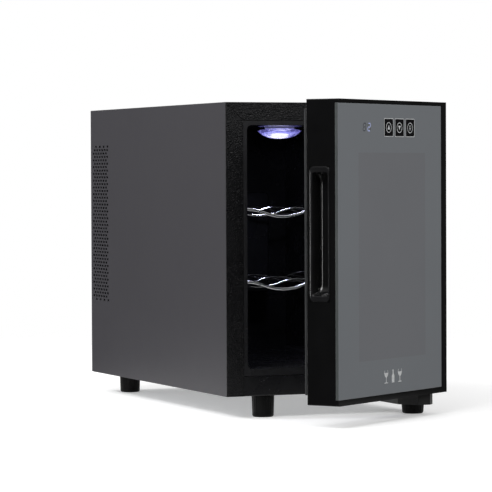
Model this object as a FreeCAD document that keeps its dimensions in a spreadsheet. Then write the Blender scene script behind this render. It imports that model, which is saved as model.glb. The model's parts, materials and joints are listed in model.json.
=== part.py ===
import FreeCAD, Part
import math
import os
import re

import Sketcher
from FreeCAD import Placement, Rotation, Vector

# Small thermoelectric wine cooler: a steel cabinet with a moulded liner, two chrome wire shelves, a glazed
# door on two hinge pins, two fans, a Peltier block and four levelling feet.
# The origin is on the floor under the middle of the cabinet. +Z is up and the door faces -Y.
# The door is drawn closed and then turned about its hinge axis to where it stands ajar.

SIZES = [
    # the cabinet
    ("cab_width", 252), ("cab_height", 345), ("cab_depth", 477), ("foot_height", 26), ("skin", 1),
    ("seam", 0.3), ("fit_gap", 0.1), ("running_gap", 0.05), ("pin_gap", 0.02),
    ("frame_width", 21.5), ("frame_deep", 12), ("frame_lip", 1), ("sill_height", 23.5),
    ("rim_width", 5.3), ("rim_foot", 8.1), ("rim_setback", 0.5), ("rim_thick", 2),
    ("liner_wall", 2), ("liner_deep", 350), ("liner_corner", 6), ("foam_deep", 392),
    ("ledge_out", 8), ("ledge_thick", 4), ("ledge_start", 20), ("flange_width", 12),
    # slots in the side panels
    ("slot_long", 6.4), ("slot_tall", 2.6), ("slot_pitch", 9.6), ("slot_row_pitch", 8.9),
    ("slot_low", 100), ("slot_back", 7.5), ("slot_pair_rows", 22), ("end_slot_pitch", 15),
    # shelves
    ("shelf_low", 129.4), ("shelf_high", 215), ("wire_radius", 1.3), ("front_wire_radius", 1.9),
    ("rod_radius", 1.5), ("wave_height", 4.5), ("wave_beyond", 0.8), ("wire_clear", 1.7),
    ("wire_pitch", 70), ("wire_start", 7), ("wire_count", 5), ("rod_inset", 17.2), ("weld_sink", 0.4),
    ("seat_gap", 0.3),
    # the cooling train behind the liner
    ("train_high", 172), ("cover_half_width", 60), ("cover_half_height", 65), ("cover_deep", 42),
    ("cover_wall", 2), ("cold_sink_side", 90), ("cold_base", 4), ("cold_fin", 14), ("cold_fins", 12),
    ("spacer_side", 40), ("module_thick", 3.8), ("hot_sink_side", 110), ("hot_base", 6), ("hot_fin", 28),
    ("hot_fins", 14), ("fin_thick", 1.5), ("cold_fan_side", 60), ("cold_fan_deep", 15),
    ("hot_fan_side", 92), ("hot_fan_deep", 25), ("fan_wall", 2), ("blade_gap", 1.2), ("shaft_radius", 1.5),
    ("cover_setback", 1.5), ("rear_wall", 2), ("screw_radius", 1.5), ("screw_head", 3), ("screw_long", 4),
    ("strut_thick", 2.5), ("strut_half", 2), ("hub_share", 0.22), ("blade_lean", 0.11), ("blade_thick", 1.6),
    ("blades", 7), ("fan_hole", 1.8), ("fan_hole_inset", 4.5), ("pass_margin", 2),
    ("grille_half", 24), ("grille_slot", 3.4), ("grille_pitch", 6.43), ("grille_slots", 8),
    ("side_slot", 4), ("side_slot_ahead", 14), ("side_slot_back", 6),
    ("rear_slot_half", 40), ("rear_slot", 4), ("rear_slot_span", 80), ("rear_slots", 11),
    ("board_high", 288), ("board_width", 120), ("board_tall", 62), ("board_thick", 1.6),
    ("pillar_long", 8), ("pillar_radius", 3), ("pillar_inset", 5), ("inlet_across", 70), ("inlet_high", 38),
    ("inlet_half", 13.8), ("inlet_tall", 10), ("inlet_wall", 1.8), ("inlet_flange", 20),
    ("inlet_flange_tall", 13.5), ("inlet_lip", 1.3), ("inlet_deep", 20), ("inlet_hollow", 15), ("contact_across", 7), ("contact_high", 2),
    # lamp and sensor
    ("lamp_back", 136), ("lamp_radius", 27), ("lamp_deep", 12.2), ("bezel_thick", 2), ("lamp_board_radius", 12),
    ("lamp_bezel_radius", 18), ("lamp_bezel_hole", 8),
    ("sensor_back", 200), ("sensor_high", 168), ("sensor_half", 6), ("sensor_tall", 9), ("sensor_thick", 5),
    ("small_round", 2),
    # the door
    ("door_thick", 41.6), ("door_gap", 7), ("door_ajar", 34.8), ("axis_inset", 12), ("axis_ahead", 15),
    ("glass_thick", 4), ("border_side", 13.4), ("border_top", 4.6), ("border_bottom", 6.7),
    ("stile_width", 34), ("rail_bottom", 30), ("rail_top", 14), ("edge_round", 1.2),
    ("window_free", 45.3), ("window_hinge", 52.5), ("window_bottom", 47.5), ("window_top", 60.3),
    ("inner_plate", 3.2), ("pane_thick", 3), ("pane_lap", 6), ("spacer_wall", 5),
    ("gasket_width", 11.7), ("gasket_clear", 0.3), ("gasket_free", 5), ("gasket_end", 10),
    ("magnet_width", 5), ("magnet_thick", 2.6),
    ("bezel_inner", 4.3), ("bezel_width", 26), ("bezel_low", 117), ("bezel_tall", 152), ("bezel_round", 5),
    ("bezel_proud", 0.6), ("bezel_sunk", 1.4), ("recess_inner", 7.6), ("recess_width", 20.5),
    ("recess_low", 123.5), ("recess_tall", 138.9), ("recess_deep", 17), ("cup_wall", 1.6), ("scoop_round", 13),
    ("key_first", 113.9), ("key_pitch", 24.8), ("key_side", 21.4), ("key_low", 303), ("key_thick", 0.2),
    ("display_start", 50), ("display_width", 28), ("display_deep", 6), ("display_half", 8), ("board_half", 14),
    ("key_sensor", 6),
    # hinges and feet
    ("pin_radius", 3), ("bush_radius", 5), ("bush_long", 14), ("bush_flange", 0.9), ("plate_half", 10),
    ("plate_thick", 2.5), ("plate_back", 38), ("plate_sunk", 0.2), ("pocket_deep", 3.5), ("pocket_ahead", 17),
    ("bracket_reach", 42), ("bracket_inset", 4), ("bracket_front", 45), ("bracket_back", 50),
    ("bracket_deep", 14), ("bracket_drop", 1.2), ("foot_top", 13.5), ("foot_bottom", 12.7), ("foot_round", 2.5),
    ("foot_clear", 0.3), ("stud_radius", 4), ("stud_long", 12), ("short_stud", 5), ("nut_half", 8),
    ("nut_tall", 5), ("nut_across", 4.8),
    ("front_foot_inset", 53), ("front_foot_back", 18), ("rear_foot_inset", 40), ("rear_foot_back", 440),
    ("hinge_foot_inset", 18), ("hinge_foot_ahead", 14), ("flute_radius", 0.8), ("flutes", 20),
]

# Places, as formulas over the sheet
LOW = "foot_height"
ROOF = "(foot_height+cab_height)"
FRONT = "(-cab_depth/2)"
BACK = "(cab_depth/2)"
SIDE = "(cab_width/2)"
SHELL = f"({SIDE}-skin)"
MOUTH = f"({SIDE}-frame_width-rim_width)"
MOUTH_LOW = f"({LOW}+sill_height+rim_foot)"
MOUTH_HIGH = f"({ROOF}-frame_width-rim_width)"
LINER_BACK = f"({FRONT}+liner_deep)"
BULKHEAD = f"({FRONT}+foam_deep)"
FLANGE = f"({BACK}-cover_setback-rear_wall-skin)"
TRAIN = f"({LOW}+train_high)"
INNER = f"({FRONT}-door_gap)"
OUTER = f"({INNER}-door_thick)"
AXIS_X = f"({SIDE}-axis_inset)"
AXIS_Y = f"({FRONT}-axis_ahead)"
WINDOW_LEFT = f"(-{SIDE}+window_free)"
WINDOW_RIGHT = f"({SIDE}-window_hinge)"
WINDOW_LOW = f"({LOW}+window_bottom)"
WINDOW_HIGH = f"({ROOF}-window_top)"
GLASS_RIGHT = f"({SIDE}-border_side)"
STILE_FREE = f"(-{SIDE}+stile_width)"
STILE_HINGE = f"({SIDE}-stile_width-2)"
BRACKET_LEFT = f"({SIDE}-bracket_reach)"
BRACKET_RIGHT = f"({SIDE}-bracket_inset)"
HINGE_FOOT = (f"({SIDE}-hinge_foot_inset)", f"({FRONT}-hinge_foot_ahead)")

doc = FreeCAD.newDocument("wine_cooler")
sheet = doc.addObject("Spreadsheet::Sheet", "Sizes")
for row, (alias, value) in enumerate(SIZES, 1):
    sheet.set(f"A{row}", alias)
    sheet.set(f"B{row}", str(value))
    sheet.setAlias(f"B{row}", alias)
doc.recompute()
ALIASES = {alias for alias, _ in SIZES}
nodes = []


# ---- helpers ----

def bind(formula):
    """A formula over the sheet's aliases, written the way setExpression wants it."""
    def qualify(word):
        return f"Sizes.{word[0]}" if word[0] in ALIASES else word[0]

    return re.sub(r"[A-Za-z_]+", qualify, str(formula))


def size(alias):
    """One number of the sheet."""
    return float(sheet.get(alias))


def place(thing, x="0", y="0", z="0", rotation=None):
    """Bind the position of a thing and give it a fixed rotation."""
    thing.Placement = Placement(Vector(), rotation or Rotation())
    for axis, formula in zip("xyz", (x, y, z)):
        thing.setExpression(f".Placement.Base.{axis}", bind(formula))
    return thing


def swing(thing):
    """Turn a piece of the closed door about the hinge axis to where the door stands ajar."""
    thing.Placement = Placement(Vector(), Rotation(Vector(0, 0, 1), 10))
    turn = "door_ajar*1deg"
    thing.setExpression(".Placement.Rotation.Angle", bind("door_ajar"))
    thing.setExpression(".Placement.Base.x", bind(f"{AXIS_X}*(1-cos({turn}))+{AXIS_Y}*sin({turn})"))
    thing.setExpression(".Placement.Base.y", bind(f"{AXIS_Y}*(1-cos({turn}))-{AXIS_X}*sin({turn})"))


def node(label, thing, on_door=False):
    """Name a finished sub-part."""
    if on_door:
        swing(thing)
    thing.Label = label
    nodes.append(thing)
    return thing


def box(low, high):
    """Box between two corners."""
    thing = doc.addObject("Part::Box", "box")
    place(thing, *low)
    for side, start, end in zip(("Length", "Width", "Height"), low, high):
        thing.setExpression(side, bind(f"({end})-({start})"))
    return thing


TURNED = {"z": Rotation(), "y": Rotation(Vector(1, 0, 0), -90), "x": Rotation(Vector(0, 1, 0), 90)}


def cylinder(start, radius, length, along="z"):
    """Cylinder from a point along an axis."""
    thing = place(doc.addObject("Part::Cylinder", "cylinder"), *start, rotation=TURNED[along])
    thing.setExpression("Radius", bind(radius))
    thing.setExpression("Height", bind(length))
    return thing


def cut(base, *tools):
    """Base less every tool."""
    thing = doc.addObject("Part::Cut", "cut")
    thing.Base = base
    thing.Tool = tools[0] if len(tools) == 1 else fuse(*tools)
    return thing


def fuse(*pieces):
    """One solid of several that overlap or touch."""
    thing = doc.addObject("Part::MultiFuse", "fuse")
    thing.Shapes = list(pieces)
    return thing


def group(*pieces):
    """Several separate solids in one node."""
    thing = doc.addObject("Part::Compound", "group")
    thing.Links = list(pieces)
    return thing


def new_body(name):
    return doc.addObject("PartDesign::Body", name)


def origin_feature(body, role):
    return [feature for feature in body.Origin.OriginFeatures if feature.Role == role][0]


def rect(x0, y0, x1, y1):
    """Corners of a rectangle."""
    return [(x0, y0), (x1, y0), (x1, y1), (x0, y1)]


def draw(sketch, outline):
    """Add a closed outline: a list of corners, or (x, y, radius) for a circle."""
    if isinstance(outline, tuple):
        x, y, radius = outline
        start = Part.Circle(Vector(10, 10, 0), Vector(0, 0, 1), 5)
        curve = sketch.addGeometry(start)
        for kind, point, value, guess in (("DistanceX", 3, x, 10), ("DistanceY", 3, y, 10)):
            index = sketch.addConstraint(Sketcher.Constraint(kind, -1, 1, curve, point, guess))
            sketch.setExpression(f"Constraints[{index}]", bind(value))
        index = sketch.addConstraint(Sketcher.Constraint("Radius", curve, 5))
        sketch.setExpression(f"Constraints[{index}]", bind(radius))
        return
    count = len(outline)
    first = sketch.GeometryCount
    turns = [2 * math.pi * step / count for step in range(count)]
    start = [Vector(100 * math.cos(turn), 100 * math.sin(turn), 0) for turn in turns]
    for step in range(count):
        sketch.addGeometry(Part.LineSegment(start[step], start[(step + 1) % count]))
    for step in range(count):
        after = first + (step + 1) % count
        sketch.addConstraint(Sketcher.Constraint("Coincident", first + step, 2, after, 1))
    for step, (x, y) in enumerate(outline):
        for kind, value, guess in (("DistanceX", x, start[step].x), ("DistanceY", y, start[step].y)):
            index = sketch.addConstraint(Sketcher.Constraint(kind, -1, 1, first + step, 1, guess))
            sketch.setExpression(f"Constraints[{index}]", bind(value))


def sketch_on(body, plane, height, outlines):
    """Sketch on one of the body's own planes, moved along its normal: +Z, -Y or +X."""
    sketch = body.newObject("Sketcher::SketchObject", f"{body.Name}_sketch")
    sketch.AttachmentSupport = [(origin_feature(body, f"{plane}_Plane"), "")]
    sketch.MapMode = "FlatFace"
    sketch.setExpression(".AttachmentOffset.Base.z", bind(height))
    for outline in outlines:
        draw(sketch, outline)
    return sketch


def extrude(body, plane, low, high, *outlines, hollow=False):
    """Pad, or pocket if hollow, the outlines between two heights along X, Y or Z."""
    bottom, top = (f"-({high})", f"-({low})") if plane == "XZ" else (low, high)
    sketch = sketch_on(body, plane, top if hollow else bottom, outlines)
    kind = "Pocket" if hollow else "Pad"
    feature = body.newObject(f"PartDesign::{kind}", f"{body.Name}_{kind.lower()}")
    feature.Profile = sketch
    feature.setExpression("Length", bind(f"({high})-({low})"))
    return feature


def pocket(body, plane, low, high, *outlines):
    return extrude(body, plane, low, high, *outlines, hollow=True)


def revolve(body, profile):
    """Turn an outline of (radius, height) about the body's Z axis."""
    sketch = sketch_on(body, "XZ", "0", [profile])
    feature = body.newObject("PartDesign::Revolution", f"{body.Name}_turned")
    feature.Profile = sketch
    feature.ReferenceAxis = (sketch, ["V_Axis"])
    feature.Angle = 360
    return feature


def repeat_round(body, feature, count):
    """Repeat one feature evenly about the body's Z axis."""
    doc.recompute()
    pattern = body.newObject("PartDesign::PolarPattern", f"{body.Name}_round")
    pattern.Originals = [feature]
    pattern.Axis = (origin_feature(body, "Z_Axis"), [""])
    pattern.Angle = 360
    pattern.setExpression("Occurrences", bind(count))
    body.Tip = pattern


def repeat_along(body, feature, axis, length, count):
    """Repeat one feature in a row along one of the body's axes."""
    doc.recompute()
    pattern = body.newObject("PartDesign::LinearPattern", f"{body.Name}_row")
    pattern.Originals = [feature]
    pattern.Direction = (origin_feature(body, f"{axis}_Axis"), [""])
    pattern.setExpression("Length", bind(length))
    pattern.setExpression("Occurrences", bind(count))
    body.Tip = pattern


def soften(body, radius, chosen):
    """Round the edges that a test chooses."""
    doc.recompute()
    last = body.Tip
    names = [f"Edge{number}" for number, edge in enumerate(last.Shape.Edges, 1) if chosen(edge)]
    fillet = body.newObject("PartDesign::Fillet", f"{body.Name}_soft")
    fillet.Base = (last, names)
    fillet.setExpression("Radius", bind(radius))


def runs(edge, axis):
    """True for a straight edge along one axis."""
    if not isinstance(edge.Curve, (Part.Line, Part.LineSegment)):
        return False
    return abs(abs(edge.tangentAt(edge.FirstParameter).dot(axis)) - 1) < 1e-6


X, Y, Z = Vector(1, 0, 0), Vector(0, 1, 0), Vector(0, 0, 1)


# ---- cabinet shell ----

def side_panel(label, sign):
    """Folded steel side: a flat sheet with a flange at the back, and rows of slots beside the heat sink."""
    body = new_body(f"{label}_sheet")
    outside, inside = f"{sign}*{SIDE}", f"{sign}*{SHELL}"
    turn_in = f"{sign}*({SHELL}-flange_width)"
    start = f"{FRONT}+frame_lip+seam"
    outline = [(outside, start), (inside, start), (inside, FLANGE), (turn_in, FLANGE),
               (turn_in, f"{FLANGE}+skin"), (outside, f"{FLANGE}+skin")]
    extrude(body, "XY", LOW, ROOF, outline)
    tail = [(outside, f"{FLANGE}+skin"), (inside, f"{FLANGE}+skin"), (inside, BACK), (outside, BACK)]
    extrude(body, "XY", LOW, ROOF, tail)
    for height in COVER_SCREWS:
        hole = (f"{sign}*{SCREW_ACROSS}", height, "screw_radius+fit_gap")
        pocket(body, "XZ", FLANGE, f"{FLANGE}+skin", hole)
    return node(label, cut(body, vent_slots(int(sign))))


def vent_slots(side):
    """Cutters for the staggered slots of one side panel, with a shorter row above and below them."""
    long, tall, skin = size("slot_long"), size("slot_tall"), size("skin")
    bottom = size("foot_height") + size("slot_low")
    last = size("cab_depth") / 2 - size("slot_back") - long
    pitch, row_pitch, pairs = size("slot_pitch"), size("slot_row_pitch") / 2, int(size("slot_pair_rows"))
    spots = [(last - step * pitch - (row % 2) * pitch / 2, bottom + row * row_pitch)
             for row in range(2 * pairs) for step in range(6)]
    spots += [(last - pitch - step * size("end_slot_pitch"), bottom + row * row_pitch)
              for row in (-1, 2 * pairs) for step in range(4)]
    left = side * size("cab_width") / 2 - 2 * skin
    thing = doc.addObject("Part::Feature", "slots")
    thing.Shape = Part.makeCompound([Part.makeBox(4 * skin, long, tall, Vector(left, y, z)) for y, z in spots])
    return thing


SCREW_ACROSS = f"({SHELL}-flange_width/2)"
COVER_SCREWS = [f"({LOW}+14)", f"({LOW}+cab_height/2)", f"({ROOF}-14)"]


def hinge_recess(right=f"{AXIS_X}+plate_half+seam"):
    """Shallow seat that holds the upper hinge plate flush with the cabinet's top."""
    return box((f"{AXIS_X}-plate_half-seam", f"{FRONT}-1", f"{ROOF}-plate_sunk-plate_thick"),
               (right, f"{FRONT}+plate_back+seam", f"{ROOF}+1"))


def shell():
    side_panel("left_side_panel", "-1")
    side_panel("right_side_panel", "1")
    edge = f"({SHELL}-fit_gap)"
    top = box((f"-{edge}", f"{FRONT}+frame_lip+seam", f"{ROOF}-skin"), (edge, f"{FLANGE}-fit_gap", ROOF))
    node("top_panel", cut(top, hinge_recess()))

    pan = box((f"-{edge}", f"{FRONT}+frame_deep+seam", LOW), (edge, f"{FLANGE}-fit_gap", f"{LOW}+skin"))
    studs = [cylinder((x, y, f"{LOW}-1"), "stud_radius+running_gap", "skin+2") for x, y in PAN_FEET]
    node("base_pan", cut(pan, *studs))
    nuts = []
    for x, y in PAN_FEET:
        nut = box((f"{x}-nut_half", f"{y}-nut_across", f"{LOW}+skin"),
                  (f"{x}+nut_half", f"{y}+nut_across", f"{LOW}+skin+nut_tall"))
        nuts.append(cut(nut, cylinder((x, y, LOW), "stud_radius+running_gap", "skin+nut_tall+1")))
    node("foot_nuts", group(*nuts))

    bulkhead = box((f"-{edge}", BULKHEAD, f"{LOW}+skin+fit_gap"),
                   (edge, f"{BULKHEAD}+skin", f"{ROOF}-skin-fit_gap"))
    half = "(spacer_side/2+pass_margin)"
    window = box((f"-{half}", f"{BULKHEAD}-1", f"{TRAIN}-{half}"),
                 (half, f"{BULKHEAD}+skin+1", f"{TRAIN}+{half}"))
    node("rear_bulkhead", cut(bulkhead, window))


PAN_FEET = [(f"-({SIDE}-front_foot_inset)", f"({FRONT}+front_foot_back)"),
            (f"-({SIDE}-rear_foot_inset)", f"({FRONT}+rear_foot_back)"),
            (f"({SIDE}-rear_foot_inset)", f"({FRONT}+rear_foot_back)")]


def front_frame():
    """Textured front frame with mitred top corners: two stiles, a header and a sill."""
    inner = f"({SIDE}-frame_width)"
    tuck = f"({SHELL}-fit_gap)"
    mitre = "seam/2"
    for label, sign in (("front_stile_left", "-1"), ("front_stile_right", "1")):
        stile = new_body(f"{label}_bar")
        corner = (f"{sign}*{inner}", f"{ROOF}-frame_width-{mitre}")
        face = [(f"{sign}*{SIDE}", LOW), (f"{sign}*{inner}", LOW), corner,
                (f"{sign}*{SIDE}", f"{ROOF}-{mitre}")]
        extrude(stile, "XZ", FRONT, f"{FRONT}+frame_lip", face)
        core = [(f"{sign}*{tuck}", LOW), (f"{sign}*{inner}", LOW), corner,
                (f"{sign}*{tuck}", f"{ROOF}-{mitre}-skin-fit_gap")]
        extrude(stile, "XZ", f"{FRONT}+frame_lip", f"{FRONT}+frame_deep", core)
        if sign == "1":
            stile = cut(stile, hinge_recess())
        node(label, stile)
    header = new_body("header_bar")
    inner_edge = [(f"{inner}-{mitre}", f"{ROOF}-frame_width"), (f"-{inner}+{mitre}", f"{ROOF}-frame_width")]
    face = [(f"-{SIDE}+{mitre}", ROOF), (f"{SIDE}-{mitre}", ROOF), *inner_edge]
    extrude(header, "XZ", FRONT, f"{FRONT}+frame_lip", face)
    under = f"{ROOF}-skin-fit_gap"
    core = [(f"-{tuck}+{mitre}", under), (f"{tuck}-{mitre}", under), *inner_edge]
    extrude(header, "XZ", f"{FRONT}+frame_lip", f"{FRONT}+frame_deep", core)
    hole = cylinder((*PLATE_SCREW, f"{ROOF}-frame_width+1"), "screw_radius+fit_gap", "frame_width")
    node("front_header", cut(header, hinge_recess(right=f"{SIDE}+1"), hole))
    sill = new_body("front_sill")
    extrude(sill, "XZ", f"{FRONT}+rim_setback", f"{FRONT}+frame_deep",
            rect(f"-{inner}+seam", LOW, f"{inner}-seam", f"{LOW}+sill_height"))
    front = -size("cab_depth") / 2
    soften(sill, "edge_round", lambda edge: runs(edge, X) and edge.BoundBox.YMin < front + 1)
    node("front_sill", sill)


PLATE_SCREW = (f"({AXIS_X}-plate_half+screw_head+fit_gap)", f"({FRONT}+frame_deep/2)")


# ---- liner, foam, shelves ----

def liner():
    """Moulded tub with a rim round its mouth and two ledges a side for the shelves."""
    body = new_body("inner_liner")
    rim = f"({SIDE}-frame_width-seam)"
    start = f"({FRONT}+rim_setback)"
    extrude(body, "XZ", start, f"{start}+rim_thick",
            rect(f"-{rim}", f"{LOW}+sill_height+seam", rim, f"{ROOF}-frame_width-seam"))
    outer = f"({MOUTH}+liner_wall)"
    extrude(body, "XZ", f"{start}+rim_thick", f"{LINER_BACK}+liner_wall",
            rect(f"-{outer}", f"{MOUTH_LOW}-liner_wall", outer, f"{MOUTH_HIGH}+liner_wall"))
    pocket(body, "XZ", start, LINER_BACK, rect(f"-{MOUTH}", MOUTH_LOW, MOUTH, MOUTH_HIGH))
    mouth = size("cab_width") / 2 - size("frame_width") - size("rim_width")
    soften(body, "liner_corner", lambda edge: runs(edge, Y) and abs(abs(edge.BoundBox.XMax) - mouth) < 0.01)
    for height in SHELVES:
        top = LEDGE_TOP[height]
        for sign in ("-1", "1"):
            ledge = rect(f"{sign}*({MOUTH}-ledge_out)", f"{top}-ledge_thick",
                         f"{sign}*({MOUTH}+liner_wall/2)", top)
            extrude(body, "XZ", f"{FRONT}+ledge_start", f"{LINER_BACK}+liner_wall/2", ledge)
    window = "(spacer_side/2+fit_gap)"
    pocket(body, "XZ", f"{LINER_BACK}-1", f"{LINER_BACK}+liner_wall+1",
           rect(f"-{window}", f"{TRAIN}-{window}", window, f"{TRAIN}+{window}"))
    pocket(body, "XY", f"{MOUTH_HIGH}-1", f"{MOUTH_HIGH}+liner_wall+1",
           ("0", f"{FRONT}+lamp_back", "lamp_board_radius+1"))
    node("inner_liner", body)


SHELVES = {"shelf_upper": f"({LOW}+shelf_high)", "shelf_lower": f"({LOW}+shelf_low)"}
# the wires rest on the ledges' inner edges, a little below the end crests of their wave
WAVE_HALF = f"(({MOUTH}+wave_beyond)/2)"
BEND = f"((({WAVE_HALF}/2)^2+wave_height^2)/(2*wave_height))"
EDGE_RISE = f"(wave_height-{BEND}+sqrt({BEND}^2-(ledge_out+wave_beyond)^2))"
LEDGE_TOP = {name: f"({middle}+{EDGE_RISE}-wire_radius-seat_gap)" for name, middle in SHELVES.items()}


def foam():
    """Foam between the liner and the shell, with room for what reaches into it."""
    edge = f"({SHELL}-fit_gap)"
    block = box((f"-{edge}", f"{FRONT}+frame_deep+seam", f"{LOW}+skin+fit_gap"),
                (edge, f"{BULKHEAD}-fit_gap", f"{ROOF}-skin-fit_gap"))
    outer = f"({MOUTH}+liner_wall+fit_gap)"
    tub = box((f"-{outer}", f"{FRONT}", f"{MOUTH_LOW}-liner_wall-fit_gap"),
              (outer, f"{LINER_BACK}+liner_wall+fit_gap", f"{MOUTH_HIGH}+liner_wall+fit_gap"))
    bore = "(spacer_side/2+fit_gap)"
    tunnel = box((f"-{bore}", LINER_BACK, f"{TRAIN}-{bore}"), (bore, f"{BULKHEAD}+1", f"{TRAIN}+{bore}"))
    lamp = cylinder(("0", f"{FRONT}+lamp_back", f"{MOUTH_HIGH}"), "lamp_board_radius+1", "liner_wall+4")
    x, y = PAN_FEET[0]
    well = box((f"{x}-nut_half-1", f"{y}-nut_half", LOW),
               (f"{x}+nut_half+1", f"{y}+nut_half", f"{LOW}+stud_long+3"))
    node("insulation_foam", cut(block, tub, tunnel, lamp, hinge_recess(), well))


def wave():
    """Half a wave's length, its height and the radius of its arcs, with the mouth's half width."""
    mouth = size("cab_width") / 2 - size("frame_width") - size("rim_width")
    half, height = (mouth + size("wave_beyond")) / 2, size("wave_height")
    return half, height, ((half / 2) ** 2 + height**2) / (2 * height), mouth


def wave_wire(middle, across_y, radius):
    """Wire bent in a wave of equal arcs: high in the middle and at both ends."""
    half, height, bend, mouth = wave()
    quarter = half / 2
    reach = mouth - size("wire_clear")
    centres = [(step * half, middle + (height - bend if step % 2 == 0 else bend - height), step % 2 == 0)
               for step in range(-2, 3)]

    def on_arc(x, centre):
        across, up, crest = centre
        rise = math.sqrt(bend**2 - (x - across) ** 2)
        return Vector(x, across_y, up + rise if crest else up - rise)

    edges = []
    for centre in centres:
        start, end = max(centre[0] - quarter, -reach), min(centre[0] + quarter, reach)
        points = [on_arc(x, centre) for x in (start, (start + end) / 2, end)]
        edges.append(Part.Arc(*points).toShape())
    path = Part.Wire(edges)
    first = edges[0]
    along = first.tangentAt(first.FirstParameter)
    ring = Part.Wire(Part.makeCircle(radius, first.valueAt(first.FirstParameter), along))
    return path.makePipeShell([ring], True, False)


def shelf(label):
    """Chrome wire shelf: waved cross wires welded over two straight rods."""
    middle = size("foot_height") + size("shelf_high" if label == "shelf_upper" else "shelf_low")
    front = -size("cab_depth") / 2 + size("wire_start")
    pitch, count = size("wire_pitch"), int(size("wire_count"))
    wires = [wave_wire(middle, front + step * pitch, size("wire_radius")) for step in range(1, count)]
    wires.append(wave_wire(middle, front, size("front_wire_radius")))
    half, height, bend, mouth = wave()
    across = mouth - size("rod_inset")
    off = 2 * half - across
    wire_level = middle + height - bend + math.sqrt(bend**2 - off**2)
    level = wire_level - size("wire_radius") - size("rod_radius") + size("weld_sink")
    start = front - size("front_wire_radius")
    length = (count - 1) * pitch + 2 * size("front_wire_radius")
    rods = [Part.makeCylinder(size("rod_radius"), length, Vector(sign * across, start, level), Y)
            for sign in (-1, 1)]
    thing = doc.addObject("Part::Feature", label)
    thing.Shape = wires[0].fuse(wires[1:] + rods)
    return node(label, thing)


# ---- cooling train ----

def finned_sink(label, side, base, fin, fins, place_y, rotation):
    """Aluminium plate with a row of upright fins."""
    body = new_body(label)
    half = f"({side}/2)"
    extrude(body, "XY", "0", base, rect(f"-{half}", f"-{half}", half, half))
    blade = extrude(body, "XY", base, f"{base}+{fin}", rect(f"-{half}", f"-{half}", f"-{half}+fin_thick", half))
    repeat_along(body, blade, "X", f"{side}-fin_thick", fins)
    place(body, "0", place_y, TRAIN, rotation)
    return node(label, body)


def fan(frame_label, rotor_label, side, deep, place_y, rotation):
    """Axial fan: a square frame with a hub on four struts, and a rotor whose shaft runs in the hub."""
    duct = f"({side}/2-fan_wall)"
    hub = f"({side}*hub_share)"
    frame = new_body(frame_label)
    half = f"({side}/2)"
    extrude(frame, "XY", "0", deep, rect(f"-{half}", f"-{half}", half, half))
    pocket(frame, "XY", "-1", f"{deep}+1", ("0", "0", duct))
    reach = f"({duct}+fan_wall/4)"
    extrude(frame, "XY", "0", "strut_thick", rect(f"-{reach}", "-strut_half", reach, "strut_half"))
    extrude(frame, "XY", "0", "strut_thick", rect("-strut_half", f"-{reach}", "strut_half", reach))
    extrude(frame, "XY", "0", "strut_thick", ("0", "0", hub))
    pocket(frame, "XY", "-1", "strut_thick+1", ("0", "0", "shaft_radius+running_gap"))
    corner = f"({half}-fan_hole_inset)"
    holes = [(f"{sx}*{corner}", f"{sy}*{corner}", "fan_hole") for sx in ("-1", "1") for sy in ("-1", "1")]
    pocket(frame, "XY", "-1", f"{deep}+1", *holes)
    place(frame, "0", place_y, TRAIN, rotation)
    node(frame_label, frame)

    rotor = new_body(rotor_label)
    extrude(rotor, "XY", "strut_thick+blade_gap/2", f"{deep}-blade_gap", ("0", "0", hub))
    low, high = "(strut_thick+blade_gap)", f"({deep}-1.5*blade_gap)"
    lean = f"({side}*blade_lean)"
    blade = [(f"-{lean}", low), (f"-{lean}+blade_thick", low), (lean, high), (f"{lean}-blade_thick", high)]
    vane = extrude(rotor, "YZ", f"{hub}-blade_thick", f"{duct}-blade_gap-{side}*0.03", blade)
    repeat_round(rotor, vane, "blades")
    extrude(rotor, "XY", "0.5", "strut_thick+1", ("0", "0", "shaft_radius"))
    place(rotor, "0", place_y, TRAIN, rotation)
    node(rotor_label, rotor)


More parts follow.
